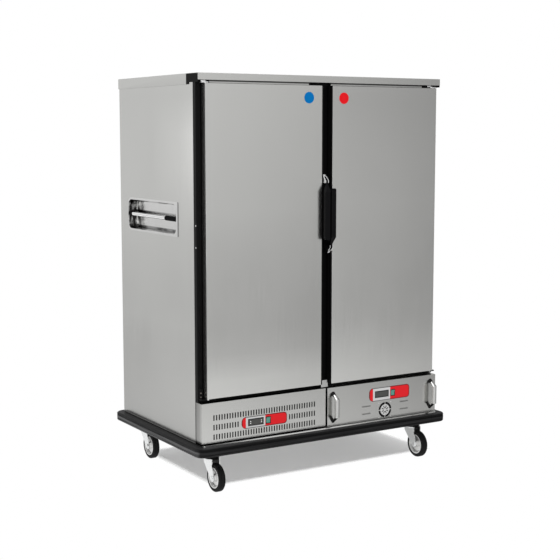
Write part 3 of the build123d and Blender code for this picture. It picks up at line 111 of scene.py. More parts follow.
class TrolleySizes(bpy.types.PropertyGroup):
    """Sizes of the surface details, the floor and the view."""

    dot_radius: length("Dot radius", "Radius of the coloured dots on the doors", 0.025)
    dot_sheet: length("Dot thickness", "Thickness of the coloured dots", 0.0004)
    dot_height: length("Dot height", "Height of the dots' middles above the floor", 1.7045)
    screw_radius: length("Screw radius", "Radius of the small screw heads", 0.0036)
    fan_screw_reach: length("Fan screw reach", "From the fan's middle to its screws", 0.034)
    crown_reach: length("Crown reach", "From a kingpin to the back edge of its crown", 0.037)
    bolt_radius: length("Bolt radius", "Radius of the caster bolts' heads", 0.0065)
    grain_length: length("Grain length", "Length of the brushed grain on the steel sheets", 0.16)
    grain_width: length("Grain width", "Width of one line of the brushed grain", 0.0011)
    floor_reach: length("Floor reach", "Half the side of the studio floor", 6.0)
    shade_left: length("Shade left", "Left edge of the shaded floor under the trolley", -0.505)
    shade_right: length("Shade right", "Right edge of the shaded floor", 0.72)
    shade_front: length("Shade front", "Front edge of the shaded floor", -0.255)
    shade_back: length("Shade back", "Back edge of the shaded floor", 0.46)
    shade_edge: length("Shade edge", "Width of the soft edge round the shaded floor", 0.034)
    camera_place: bpy.props.FloatVectorProperty(
        name="Camera place",
        description="Where the camera stands",
        default=(-2.99038, -4.84583, 1.55486),
        unit="LENGTH",
    )
    camera_turn: angle("Camera turn", "Turn of the view to the right of the front", 31.68)
    camera_tilt: angle("Camera tilt", "Downward tilt of the view", 6.94)
    camera_lens: bpy.props.FloatProperty(
        name="Camera lens",
        description="Focal length in millimetres on a 36 mm sensor",
        default=77.93,
        unit="CAMERA",
    )


class TrolleyColours(bpy.types.PropertyGroup):
    """Base colours of the finishes."""

    steel: colour("Steel", "Side panels, back and doors", (0.70, 0.70, 0.682))
    fascia: colour("Fascia", "Lid and lower front sheets", (0.65, 0.65, 0.632))
    inside: colour("Inside", "Linings, racks, inner pans and drawer box", (0.64, 0.64, 0.628))
    base: colour("Base", "Folded base tray", (0.80, 0.80, 0.79))
    # On the handle feet this plated tone is a painted highlight
    satin: colour("Satin", "Mullion's foot bracket and bright handle feet", (0.70, 0.70, 0.69))
    polished: colour("Polished", "Grip dishes, fan guard and key marks", (0.95, 0.95, 0.94))
    chrome: colour("Chrome", "Bright plated fittings", (0.95, 0.95, 0.95))
    # On the caster races, fork crowns and the handle feet's shaded parts this black is painted
    # shade
    black: colour("Black", "Frame profiles, caps and coated fittings", (0.0045, 0.0045, 0.0045))
    lever: colour("Lever", "Latch levers and grip sleeves", (0.004, 0.004, 0.0045))
    bumper: colour("Bumper", "Bumper extrusion", (0.0035, 0.0035, 0.0038))
    # The next two tones are painted sheen: grey streaks on the bumper's sides and paler patches on
    # its top stand in for reflections
    painted_side_sheen: colour("Rubbed", "Bumper where its sides are rubbed", (0.125, 0.125, 0.127))
    painted_top_sheen: colour("Dulled", "Dull patches on top of the bumper", (0.030, 0.030, 0.031))
    red: colour("Red", "Printed panel and hot dot", (0.74, 0.010, 0.016))
    pale: colour("Pale", "Pale print round the display", (0.62, 0.62, 0.62))
    display: colour("Display", "Display window", (0.075, 0.076, 0.073))
    green: colour("Green", "Rocker switches", (0.105, 0.31, 0.25))
    blue: colour("Blue", "Cold dot", (0.0, 0.155, 0.45))
    zinc: colour("Zinc", "Caster forks and plates", (0.93, 0.94, 0.94))
    rim: colour("Rim", "Wheel centres", (0.95, 0.95, 0.94))
    tyre: colour("Tyre", "Tyres", (0.006, 0.006, 0.0065))
    dust: colour("Dust", "Dust on the rubber", (0.035, 0.034, 0.033))
    grip: colour("Grip", "Rounded drawer grips", (0.74, 0.74, 0.725))
    foam: colour("Foam", "Insulation", (0.72, 0.62, 0.38))
    rubber: colour("Rubber", "Door seals", (0.02, 0.02, 0.02))
    # Besides the machine's own dark tone, this is the colour of painted shade under the lid's lip,
    # behind the lower front's slots, in the machine bay, in louvre mouths, on grip dishes and in
    # wheel grooves
    machine: colour("Machine", "Compressor, fans and dark recesses", (0.006, 0.006, 0.006))
    coil: colour("Coil", "Condenser", (0.030, 0.030, 0.031))
    heater: colour("Heater", "Heating element and dull screws", (0.27, 0.245, 0.22))
    floor: colour("Floor", "Studio floor", (0.60, 0.60, 0.60))


def sizes():
    """The scene's sizes."""
    return bpy.context.scene.trolley_sizes


def colours():
    """The scene's colours."""
    return bpy.context.scene.trolley_colours


# Node expressions
class Wire:
    """A node's socket that takes part in arithmetic."""

    def __init__(self, owner, socket):
        self.owner = owner
        self.socket = socket

    def combine(self, operation, first, second):
        return self.owner.node("ShaderNodeMath", {"operation": operation}, {0: first, 1: second})

    def __add__(self, other):
        return self.combine("ADD", self, other)

    def __radd__(self, other):
        return self.combine("ADD", other, self)

    def __sub__(self, other):
        return self.combine("SUBTRACT", self, other)

    def __rsub__(self, other):
        return self.combine("SUBTRACT", other, self)

    def __mul__(self, other):
        return self.combine("MULTIPLY", self, other)

    def __rmul__(self, other):
        return self.combine("MULTIPLY", other, self)

    def __truediv__(self, other):
        return self.combine("DIVIDE", self, other)

    def __rtruediv__(self, other):
        return self.combine("DIVIDE", other, self)

    def __gt__(self, other):
        return self.combine("GREATER_THAN", self, other)

    def __lt__(self, other):
        return self.combine("LESS_THAN", self, other)

    def __abs__(self):
        return self.combine("ABSOLUTE", self, 0.0)

    def raised(self, power):
        return self.combine("POWER", self, power)

    def at_least(self, other):
        return self.combine("MAXIMUM", self, other)

    def at_most(self, other):
        return self.combine("MINIMUM", self, other)


class Tree:
    """A node tree that is written as expressions."""

    def __init__(self, tree):
        self.tree = tree

    def node(self, kind, settings, inputs, output=0):
        """Adds a node, sets it, joins its inputs, and gives back one of its outputs."""
        made = self.tree.nodes.new(kind)
        for key, value in settings.items():
            if key == "stops":
                self.set_stops(made.color_ramp, value)
            else:
                setattr(made, key, value)
        for key, value in inputs.items():
            if isinstance(value, Wire):
                self.tree.links.new(value.socket, made.inputs[key])
            else:
                made.inputs[key].default_value = value
        return Wire(self, made.outputs[output])

    @staticmethod
    def set_stops(ramp, stops):
        """Gives a ramp its grey stops, each a place and a tone."""
        while len(ramp.elements) < len(stops):
            ramp.elements.new(1.0)
        for element, (place, tone) in zip(ramp.elements, stops):
            element.position = place
            element.color = (tone, tone, tone, 1.0)

    def ramp(self, wire, stops):
        return self.node("ShaderNodeValToRGB", {"stops": stops}, {0: wire})

    def mix(self, share, first, second, blend="MIX"):
        """Colour mix by share."""
        inputs = {0: share}
        for key, value in ((6, first), (7, second)):
            inputs[key] = value if isinstance(value, Wire) else (*value, 1.0)
        return self.node("ShaderNodeMix", {"data_type": "RGBA", "blend_type": blend}, inputs, 2)


class Shader(Tree):
    """One material's node tree with a single Principled surface."""

    def __init__(self, name):
        self.material = bpy.data.materials.new(name)
        self.material.use_nodes = True
        super().__init__(self.material.node_tree)
        self.surface = self.tree.nodes["Principled BSDF"]

    def constant(self, **values):
        """Sets plain values on the surface."""
        for key, value in values.items():
            socket = key.replace("_", " ").title().replace("Ior", "IOR")
            self.surface.inputs[socket].default_value = value

    def feed(self, socket, wire):
        """Joins a wire to one of the surface's sockets."""
        self.tree.links.new(wire.socket, self.surface.inputs[socket])

    def place(self):
        return self.node("ShaderNodeTexCoord", {}, {}, "Object")

    def along(self, axis):
        """One coordinate of the surface, in the trolley's frame."""
        return self.node("ShaderNodeSeparateXYZ", {}, {0: self.place()}, axis)

    def noise(self, scale, detail=3.0, stretch=(1.0, 1.0, 1.0), roughness=0.55):
        spread = self.node("ShaderNodeMapping", {}, {"Vector": self.place(), "Scale": stretch})
        return self.node(
            "ShaderNodeTexNoise",
            {"noise_dimensions": "3D"},
            {"Vector": spread, "Scale": scale, "Detail": detail, "Roughness": roughness},
        )

    def cells(self, scale):
        return self.node(
            "ShaderNodeTexVoronoi", {"feature": "F1"}, {"Vector": self.place(), "Scale": scale}
        )

    def shade(self, base, factor):
        """Base colour times a factor that varies over the surface."""
        grey = self.node("ShaderNodeCombineColor", {}, {0: factor, 1: factor, 2: factor})
        return self.mix(1.0, base, grey, "MULTIPLY")

    def bump(self, height, strength, distance):
        relief = {"Height": height, "Strength": strength, "Distance": distance}
        self.feed("Normal", self.node("ShaderNodeBump", {}, relief))

    def smudges(self):
        """Soft smudges and the fine grain of bright metal, with the grain in relief."""
        smudge = self.noise(38.0, 4.0)
        fine = self.noise(420.0, 2.0)
        self.bump(fine, 0.04, 0.00005)
        return smudge, fine


# Finishes
finishes = {}


def finishing(write):
    """Turns a function that writes a surface into one that makes each named finish once."""

    @wraps(write)
    def finish(name, *values, **named):
        if name not in finishes:
            shader = Shader(name)
            write(shader, *values, **named)
            finishes[name] = shader.material
        return finishes[name]

    return finish


@finishing
def steel_finish(shader, base, grain, roughness, painted_shading=None, *places):
    """Brushed stainless sheet: fine lines along the grain, cloudy gloss and handling marks, with
    painted light and shade from a shading function where one is given.
    """
    stretch = [1.0 / sizes().grain_width] * 3
    stretch[grain] = 1.0 / sizes().grain_length
    lines = shader.noise(1.0, 2.0, tuple(stretch), 0.6)
    clouds = shader.noise(2.2, 4.0)
    smears = shader.noise(9.0, 3.0, (1.0, 1.0, 0.35))
    tone = painted_shading(shader, base, *places) if painted_shading else base
    shader.feed("Base Color", shader.shade(tone, 0.93 + 0.10 * lines + 0.05 * clouds))
    shader.feed("Roughness", roughness - 0.08 + 0.10 * lines + 0.06 * clouds + 0.05 * smears)
    shader.bump(lines, 0.10, 0.00008)
    shader.constant(metallic=1.0)


def side_painted_light(shader, base, front, top):
    """Painted light and shade on the side panel: darker towards its foot, with a painted highlight
    band up its front edge.
    """
    band_width = 0.40
    rise = shader.along("Z") / top
    deep = (shader.along("Y") - front) / band_width
    body = shader.ramp(rise, ((0.13, 0.0), (0.25, 0.48), (0.40, 1.0), (0.65, 0.90), (0.95, 0.45)))
    near = shader.ramp(deep, ((0.0, 1.0), (0.30, 0.45), (1.0, 0.0)))
    high = shader.ramp(rise, ((0.64, 0.0), (0.78, 0.9), (0.86, 1.0), (0.95, 0.2)))
    return shader.shade(base, 0.70 + 0.49 * body + 0.32 * near * high)


def door_painted_light(shader, base, low, high, stops):
    """Painted light and shade on a door, changing gently from foot to head."""
    rise = (shader.along("Z") - low.z) / (high.z - low.z)
    return shader.shade(base, 0.90 + 0.40 * shader.ramp(rise, stops))


def lid_painted_shadow(shader, base, lip_bottom, reach):
    """Painted shadow: a dark line under the lid's front lip, over the doors."""
    line_height = 0.012
    below = lip_bottom - shader.along("Z")
    strip = (below > 0.0) * (abs(shader.along("X")) < reach) * (shader.along("Y") < 0.0)
    dark = shader.ramp(below / line_height, ((0.0, 1.0), (0.40, 0.85), (0.72, 0.0)))
    return shader.mix(strip * dark, base, colours().machine)


def fascia_painted_shade(shader, base, low):
    """Painted shade on the folded return at the lower front's left end, and on the back of the
    sheet behind its slots.
    """
    sheet, fold, skin = 0.002, 0.062, 0.0003
    deep = shader.along("Y") - low.y
    side = shader.along("X") < low.x + sheet
    dark = shader.ramp(deep / fold, ((0.0, 0.15), (0.30, 0.42), (0.75, 0.55), (0.85, 0.95)))
    back = (deep > skin) * (1.0 - side)
    return shader.mix((side * dark).at_least(back), base, colours().machine)


def bay_painted_shade(shader, base, low, high, floor):
    """Painted shade on the floor and partition of the machine bay, seen through the slots, and on
    the side lips.
    """
    rim, lip, skin = 0.030, 0.004, 0.0003
    across = abs(shader.along("X"))
    deep = shader.along("Y")
    inside = (shader.along("Z") > floor - skin) * (across < high.x - rim)
    inside = inside * (deep > low.y + rim) * (deep < high.y - rim)
    side = (across > high.x - lip) * (deep > low.y + lip)
    return shader.mix(inside.at_least(0.85 * side), base, colours().machine)


def drawer_guard_and_painted_shade(shader, base, fan):
    """Brighter round fan guard, and painted shade in the mouths of the pressed louvres beside it.
    """
    louvre_place, louvre_half = 0.108, 0.0235
    mouth_feet, mouth_height = (-0.009, 0.026), 0.008
    fall = ((0.0, 0.0), (0.02, 0.85), (0.35, 0.55), (0.90, 0.10), (1.0, 0.0))
    x = shader.along("X") - fan.x
    z = shader.along("Z") - fan.z
    guard = (x * x + z * z) < FAN_GUARD * FAN_GUARD
    tone = shader.mix(guard, base, colours().polished)
    across = abs(abs(x) - louvre_place) < louvre_half
    # Painted shade in each louvre's mouth
    for foot in mouth_feet:
        mouth = shader.ramp((z - foot) / mouth_height, fall)
        tone = shader.mix(mouth * across, tone, colours().machine)
    return tone


@finishing
def bright_finish(shader, base, roughness):
    """Polished or plated metal with soft smudges."""
    smudge, fine = shader.smudges()
    shader.feed("Base Color", shader.shade(base, 0.92 + 0.12 * smudge))
    shader.feed("Roughness", roughness + 0.08 * smudge + 0.03 * fine)
    shader.constant(metallic=1.0)


@finishing
def moulded_finish(shader, base, roughness, gloss=0.16, grain=900.0, depth=0.00006):
    """Dark moulded plastic or paint with a fine grain and dull patches."""
    pores = shader.noise(grain, 2.0)
    patches = shader.noise(7.0, 4.0)
    shader.feed("Base Color", shader.shade(base, 0.80 + 0.45 * patches))
    shader.feed("Roughness", roughness - 0.05 + 0.12 * patches + 0.06 * pores)
    shader.bump(pores, 0.25, depth)
    shader.constant(specular_ior_level=gloss)


@finishing
def bumper_finish(shader, base, low, high):
    """Smooth black extrusion, with painted grey sheen in streaks along the trolley's sides and
    painted sheen in patches on its top.
    """
    side_depth, top_depth = 0.012, 0.004
    pores = shader.noise(700.0, 3.0)
    patches = shader.noise(14.0, 5.0)
    streaks = shader.ramp(shader.noise(1.0, 3.0, (4.0, 4.0, 260.0)), ((0.42, 0.0), (0.62, 1.0)))
    out = (abs(shader.along("X")) - high.x) / side_depth + 1.0
    outer = shader.ramp(out, ((0.0, 0.18), (0.60, 1.0)))
    down = (high.z - shader.along("Z")) / (high.z - low.z)
    band = shader.ramp(down, ((0.0, 0.10), (0.30, 0.22), (0.44, 1.0), (0.92, 0.9), (1.0, 0.4)))
    up = (shader.along("Z") - high.z) / top_depth + 1.0
    upper = shader.ramp(up, ((0.35, 0.0), (0.70, 1.0)))
    painted_side_sheen = outer * band * (0.45 + 0.55 * streaks) * (1.0 - upper)
    tone = shader.mix(painted_side_sheen, base, colours().painted_side_sheen)
    tone = shader.mix(upper * patches, tone, colours().painted_top_sheen)
    shader.feed("Base Color", tone)
    shader.feed("Roughness", 0.34 + 0.14 * patches + 0.08 * pores)
    shader.bump(pores, 0.20, 0.00008)
    shader.constant(specular_ior_level=0.07)


@finishing
def rubber_finish(shader, base, dust):
    """Rubber with fine pores and pale dust in its cloudy patches."""
    pores = shader.noise(700.0, 3.0)
    patches = shader.ramp(shader.noise(14.0, 5.0), ((0.35, 0.0), (0.80, 1.0)))
    scuffs = shader.ramp(shader.noise(60.0, 4.0, (1.0, 1.0, 6.0)), ((0.60, 0.0), (0.75, 1.0)))
    worn = shader.mix(patches * dust, base, colours().dust)
    shader.feed("Base Color", shader.shade(worn, 0.90 + 0.30 * scuffs))
    shader.feed("Roughness", 0.52 + 0.16 * patches + 0.08 * pores)
    shader.bump(pores, 0.30, 0.00010)
    shader.constant(specular_ior_level=0.12)


@finishing
def dish_finish(shader, base, low, high):
    """Polished pressing, bright on its flange and floor, with painted shade and painted
    reflections: dark on its steep walls, in bands at the top and bottom of its floor, above the bar
    and along the flange's front edge.
    """
    depth = (high.x - abs(shader.along("X"))) / DISH_DEPTH
    height = (shader.along("Z") - (low.z + high.z) / 2) / (high.z - low.z) * 2.0
    run = (shader.along("Y") - low.y) / (high.y - low.y)
    streaks = shader.ramp(shader.noise(1.0, 3.0, (70.0, 9.0, 24.0)), ((0.46, 0.0), (0.58, 1.0)))
    smudge, fine = shader.smudges()
    wall = shader.ramp(depth, ((0.05, 0.0), (0.12, 1.0), (0.86, 1.0), (0.97, 0.0)))
    floor = depth > 0.5
    edge = shader.ramp(abs(height), ((0.72, 0.0), (0.80, 1.0)))
    foot = shader.ramp(0.0 - height, ((0.66, 0.0), (0.71, 0.95)))
    bar = shader.ramp(height, ((0.06, 0.0), (0.10, 1.0), (0.20, 1.0), (0.26, 0.0)))
    bar = bar * shader.ramp(run, ((0.15, 0.35), (0.60, 0.65), (0.75, 0.95)))
    front = run < 0.018
    # Painted shade and painted reflections on the walls, floor bands, above the bar and at the
    # front edge
    dark = wall.at_least(edge * floor) * (0.97 - 0.55 * streaks)
    dark = dark.at_least(foot * floor * (0.95 - 0.35 * streaks)).at_least(bar * floor)
    tone = shader.mix(dark.at_least(0.55 * front), base, colours().machine)
    shader.feed("Base Color", shader.shade(tone, 0.92 + 0.12 * smudge))
    shader.feed("Roughness", 0.13 + 0.08 * smudge + 0.03 * fine)
    shader.constant(metallic=1.0)


@finishing
def rim_finish(shader, base, low, high):
    """Pressed wheel centre with painted shade in a groove round it, inside its lip."""
    y = shader.along("Y") - (low.y + high.y) / 2
    z = shader.along("Z") - (low.z + high.z) / 2
    share = (y * y + z * z).raised(0.5) / ((high.z - low.z) / 2)
    groove = shader.ramp(share, ((0.72, 0.0), (0.76, 1.0), (0.84, 1.0), (0.88, 0.0)))
    smudge, fine = shader.smudges()
    # Painted shade in the groove
    tone = shader.mix(groove * 0.50, base, colours().machine)
    shader.feed("Base Color", shader.shade(tone, 0.90 + 0.14 * smudge))
    shader.feed("Roughness", 0.30 + 0.10 * smudge + 0.03 * fine)
    shader.constant(metallic=0.75)


@finishing
def fitting_finish(shader, base, bright):
    """Plated metal where bright says so, and black elsewhere: a coating on the keepers and hinges,
    painted shade on the casters, and on the handle feet a split of painted light and painted shade.
    """
    share = bright(shader)
    smudge = shader.smudges()[0]
    tone = shader.mix(share, colours().black, base)
    speckled = 0.88 + 0.12 * smudge + 0.08 * shader.cells(260.0)
    shader.feed("Base Color", shader.shade(tone, speckled))
    shader.feed("Metallic", share)
    shader.feed("Roughness", 0.40 - 0.26 * share + 0.08 * smudge)
    shader.constant(specular_ior_level=0.12)


@finishing
def foam_finish(shader, base):
    """Matt insulating foam with small cells."""
    cells = shader.cells(900.0)
    shader.feed("Base Color", shader.shade(base, 0.75 + 0.40 * cells))
    shader.bump(cells, 0.5, 0.0004)
    shader.constant(roughness=0.9)


@finishing
def display_finish(shader, low, high, marks):
    """Dark display window in a black case, with small pale key marks where the unit has them."""
    rim, recess, mark_radius = 0.0034, 0.0012, 0.0024
    x = shader.along("X")
    z = shader.along("Z")
    inside = (x > low.x + rim) * (x < high.x - rim) * (z > low.z + rim) * (z < high.z - rim)
    window = inside * (shader.along("Y") < low.y + recess)
    grain = shader.noise(500.0, 2.0)
    haze = shader.noise(30.0, 3.0)
    tone = shader.mix(window, colours().machine, colours().display)
    for across, up in marks:
        aside = x - (low.x + across * (high.x - low.x))
        above = z - (low.z + up * (high.z - low.z))
        spot = (aside * aside + above * above) < mark_radius * mark_radius
        tone = shader.mix(spot * window, tone, colours().polished)
    shader.feed("Base Color", shader.shade(tone, 0.85 + 0.30 * haze))
    shader.feed("Roughness", 0.42 - 0.22 * window + 0.06 * grain)
    shader.bump(grain, 0.08, 0.00004)
    shader.constant(specular_ior_level=0.2)


@finishing
def overlay_finish(shader, low, high, pale_from, pale_to):
    """Printed control panel: red ends round a pale middle, with a fine dark line as its outline."""
    round_off, line_width = 0.017, 0.0036
    x = shader.along("X")
    z = shader.along("Z")
    out_x = abs(x - (low.x + high.x) / 2) - ((high.x - low.x) / 2 - round_off)
    out_z = abs(z - (low.z + high.z) / 2) - ((high.z - low.z) / 2 - round_off)
    corner_x = out_x.at_least(0.0)
    corner_z = out_z.at_least(0.0)
    reach = (corner_x * corner_x + corner_z * corner_z).raised(0.5)
    reach = reach + out_x.at_least(out_z).at_most(0.0)
    line = reach > round_off - line_width
    pale = (x > pale_from) * (x < pale_to)
    weave = shader.noise(260.0, 2.0)
    wear = shader.noise(22.0, 4.0)
    tone = shader.mix(pale, colours().red, colours().pale)
    tone = shader.mix(line * 0.75, tone, colours().machine)
    shader.feed("Base Color", shader.shade(tone, 0.93 + 0.10 * wear + 0.04 * weave))
    shader.feed("Roughness", 0.30 + 0.10 * wear)
    shader.bump(weave, 0.06, 0.00005)
    shader.constant(specular_ior_level=0.18)


@finishing
def switch_finish(shader, base):
    """Tinted moulded rocker with a faint frost."""
    frost = shader.noise(650.0, 2.0)
    depth = shader.noise(60.0, 3.0)
    shader.feed("Base Color", shader.shade(base, 0.80 + 0.45 * depth))
    shader.feed("Roughness", 0.22 + 0.10 * frost)
    shader.bump(frost, 0.06, 0.00004)
    shader.constant(specular_ior_level=0.3)


@finishing
def dot_finish(shader, base):
    """Matt self-adhesive dot."""
    paper = shader.noise(800.0, 3.0)
    fade = shader.noise(40.0, 3.0)
    shader.feed("Base Color", shader.shade(base, 0.90 + 0.18 * fade))
    shader.feed("Roughness", 0.38 + 0.12 * paper)
    shader.bump(paper, 0.10, 0.00004)
    shader.constant(specular_ior_level=0.05)


@finishing
def floor_finish(shader, base):
    """Pale matt floor that shows only as a patch with soft edges under the trolley: a painted
    shadow, whose outline is the patch's edge, lifted by an even faint glow.
    """
    size = sizes()
    haze = shader.noise(0.6, 3.0)
    x = shader.along("X")
    y = shader.along("Y")
    inside = (x - size.shade_left).at_most(size.shade_right - x)
    inside = inside.at_most(y - size.shade_front).at_most(size.shade_back - y)
    shader.feed("Base Color", shader.shade(base, 0.985 + 0.03 * haze))
    shader.feed("Alpha", shader.ramp(inside / size.shade_edge, ((0.0, 0.0), (1.0, 1.0))))
    shader.constant(roughness=0.9, specular_ior_level=0.0)
    shader.constant(emission_color=(*WHITE, 1.0), emission_strength=0.18)


# Pieces from the CAD solids
def merged_copy(node):
    """The node's mesh with its triangles joined along their edges."""
    mesh = frame["nodes"][node].data.copy()
    mesh.name = f"{node}_finished"
    work = bmesh.new()
    work.from_mesh(mesh)
    bmesh.ops.remove_doubles(work, verts=work.verts, dist=1e-6)
    work.to_mesh(mesh)
    work.free()
    return mesh


def made_mesh(obj):
    """Plain mesh of an object with its modifiers worked in; the object keeps no modifier."""
    evaluated = obj.evaluated_get(bpy.context.evaluated_depsgraph_get())
    mesh = bpy.data.meshes.new_from_object(evaluated)
    obj.modifiers.clear()
    obj.data = mesh
    return mesh


def keep_inside(mesh, low, high):
    """Holds a mesh with rounded edges to the box it was made from."""
    for vertex in mesh.vertices:
        limits = zip(vertex.co, low, high)
        vertex.co = [min(max(value, least), most) for value, least, most in limits]


def shade_smooth(mesh, crease=SMOOTH_BELOW):
    """Smooth shading, with edges above the crease angle kept sharp."""
    mesh.polygons.foreach_set("use_smooth", [True] * len(mesh.polygons))
    mesh.set_sharp_from_angle(angle=math.radians(crease))
    mesh.update()


def link(name, data):
    """A new object in the scene."""
    obj = bpy.data.objects.new(name, data)
    bpy.context.scene.collection.objects.link(obj)
    return obj


def dress(node, material, edge=0.0, segments=2, crease=SMOOTH_BELOW):
    """Stands a copy of a node in its place, with rounded edges where an edge width is given."""
    obj = link(f"{node}_finished", merged_copy(node))
    if edge:
        bevel = obj.modifiers.new("Edge", "BEVEL")
        bevel.width = edge
        bevel.segments = segments
        bevel.limit_method = "ANGLE"
        bevel.angle_limit = math.radians(ROUND_ABOVE)
        bevel.use_clamp_overlap = True
    mesh = made_mesh(obj)
    keep_inside(mesh, *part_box(node))
    shade_smooth(mesh, crease)
    level = obj.modifiers.new("Flat faces", "WEIGHTED_NORMAL")
    level.keep_sharp = True
    mesh = made_mesh(obj)
    mesh.materials.clear()
    mesh.materials.append(material)
    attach(obj, body_of[node])
    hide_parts(node)


def paint(node, material):
    """Gives a node that stays as it is its finish."""
    mesh = frame["nodes"][node].data
    mesh.materials.clear()
    mesh.materials.append(material)


def middle_of(node):
    """Middle of a node's box."""
    low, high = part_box(node)
    return (low + high) / 2


# Repeated fasteners
def fastener_tree():
    """Node tree: a domed head on every point, turned to its facing, made real and finished."""
    tree = bpy.data.node_groups.new("Fastener heads", "GeometryNodeTree")
    face = tree.interface
    face.new_socket("Geometry", in_out="INPUT", socket_type="NodeSocketGeometry")
    for label, default in (("Head radius", 0.004), ("Head height", 0.0018)):
        socket = face.new_socket(label, in_out="INPUT", socket_type="NodeSocketFloat")
        socket.default_value = default
    face.new_socket("Finish", in_out="INPUT", socket_type="NodeSocketMaterial")
    face.new_socket("Geometry", in_out="OUTPUT", socket_type="NodeSocketGeometry")
    work = Tree(tree)
    start = tree.nodes.new("NodeGroupInput")
    points, radius, height, material = (
        Wire(work, start.outputs[label])
        for label in ("Geometry", "Head radius", "Head height", "Finish")
    )
    ball = {"Segments": 10, "Rings": 5, "Radius": radius}
    head = work.node("GeometryNodeMeshUVSphere", {}, ball, "Mesh")
    scale = work.node("ShaderNodeCombineXYZ", {}, {0: 1.0, 1: 1.0, 2: height / radius})
    dome = work.node("GeometryNodeTransform", {}, {"Geometry": head, "Scale": scale})
    facing = work.node(
        "GeometryNodeInputNamedAttribute",
        {"data_type": "FLOAT_VECTOR"},
        {"Name": "facing"},
        "Attribute",
    )
    turn = work.node("FunctionNodeAlignRotationToVector", {"axis": "Z"}, {"Vector": facing})
    each = {"Points": points, "Instance": dome, "Rotation": turn}
    heads = work.node("GeometryNodeInstanceOnPoints", {}, each)
    real = work.node("GeometryNodeRealizeInstances", {}, {"Geometry": heads})
    done = work.node("GeometryNodeSetMaterial", {}, {"Geometry": real, "Material": material})
    tree.links.new(done.socket, tree.nodes.new("NodeGroupOutput").inputs["Geometry"])
    return tree


def add_fasteners(tree, name, body, slot, places, radius, height, material):
    """Heads at places, each a point and the way it faces, as one piece on a body."""
    mesh = bpy.data.meshes.new(name)
    mesh.from_pydata([point for point, way in places], [], [])
    facing = mesh.attributes.new("facing", "FLOAT_VECTOR", "POINT")
    facing.data.foreach_set("vector", [component for point, way in places for component in way])
    obj = link(name, mesh)
    modifier = obj.modifiers.new("Heads", "NODES")
    modifier.node_group = tree
    values = {"Head radius": radius, "Head height": height, "Finish": material}
    for item in tree.interface.items_tree:
        if item.in_out == "INPUT" and item.name in values:
            modifier[item.identifier] = values[item.name]
    shade_smooth(made_mesh(obj))
    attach(obj, body)


# Operators
class TROLLEY_OT_sheets(bpy.types.Operator):
    """Brushed steel sheets: lid, sides, back, doors, lower front and base tray"""

    bl_idname = "trolley.sheets"
    bl_label = "Steel sheets"

    def execute(self, context):
        tones = colours()
        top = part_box("lid")[1].z
        # Painted light and shade on the side panels, by height and along the front edge
        band = (side_painted_light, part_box("side_panels")[0].y, top)
        sides = steel_finish("Side grain upright", tones.steel, UPRIGHT, BRUSHED, *band)
        dress("side_panels", sides)
        dress("back_panel", steel_finish("Steel grain upright", tones.steel, UPRIGHT, BRUSHED))
        door_low, door_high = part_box("left_door_skin")
        # Painted shadow under the lid's front lip
        line = (lid_painted_shadow, top - LID_LIP, door_high.x - door_low.x)
        dress("lid", steel_finish("Lid grain across", tones.fascia, ACROSS, BRIGHT, *line))
        # Painted light and shade up each door, as tone stops from foot to head
        falls = {
            "left": ((0.05, 0.55), (0.14, 0.11), (0.22, 0.03), (0.60, 0.35), (0.95, 0.20)),
            "right": ((0.03, 0.95), (0.22, 0.53), (0.62, 0.45), (0.95, 0.0)),
        }
        for side in SIDES:
            node = f"{side}_door_skin"
            fall = (door_painted_light, *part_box(node), falls[side])
            dress(node, steel_finish(f"Door grain {side}", tones.steel, UPRIGHT, BRUSHED, *fall))
        # Painted shade on the fascia's folded return and behind its slots
        fold = (fascia_painted_shade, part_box("cold_fascia")[0])
        fascia = steel_finish("Fascia grain across", tones.fascia, ACROSS, BRIGHT, *fold)
        dress("cold_fascia", fascia)
        # Brighter fan guard, and painted shade in the louvre mouths
        guard = (drawer_guard_and_painted_shade, middle_of("drawer_fan_frame"))
        front = steel_finish("Drawer front grain", tones.fascia, ACROSS, BRIGHT, *guard)
        dress("drawer_front", front, crease=1.0)  # its pressed louvres stay faceted
        # Painted shade inside the machine bay and on the tray's side lips
        bay = (bay_painted_shade, *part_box("base_tray"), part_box("compressor")[0].z)
        dress("base_tray", steel_finish("Base grain across", tones.base, ACROSS, BRIGHT, *bay))
        return {"FINISHED"}


class TROLLEY_OT_black_frame(bpy.types.Operator):
    """Black door frame, door edges, corner caps and seals"""

    bl_idname = "trolley.black_frame"
    bl_label = "Black frame"

    def execute(self, context):
        tones = colours()
        profile = moulded_finish("Black profile", tones.black, roughness=0.34, gloss=0.08)
        cap = moulded_finish("Black cap", tones.black, roughness=0.30, gloss=0.04)
        seal = rubber_finish("Door seal", tones.rubber, dust=0.10)
        dress("front_frame", profile)
        dress("lid_corner_caps", cap, edge=0.0008)
        for side in SIDES:
            dress(f"{side}_door_edge_profile", profile, edge=0.0006)
            dress(f"{side}_door_gasket", seal, edge=0.0012)
        return {"FINISHED"}


class TROLLEY_OT_bumper(bpy.types.Operator):
    """Grooved bumper round the base"""

    bl_idname = "trolley.bumper"
    bl_label = "Bumper"

    def execute(self, context):
        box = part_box("bumper_rails")
        extrusion = bumper_finish("Bumper extrusion", colours().bumper, *box)
        dress("bumper_rails", extrusion, edge=0.0006)
        return {"FINISHED"}


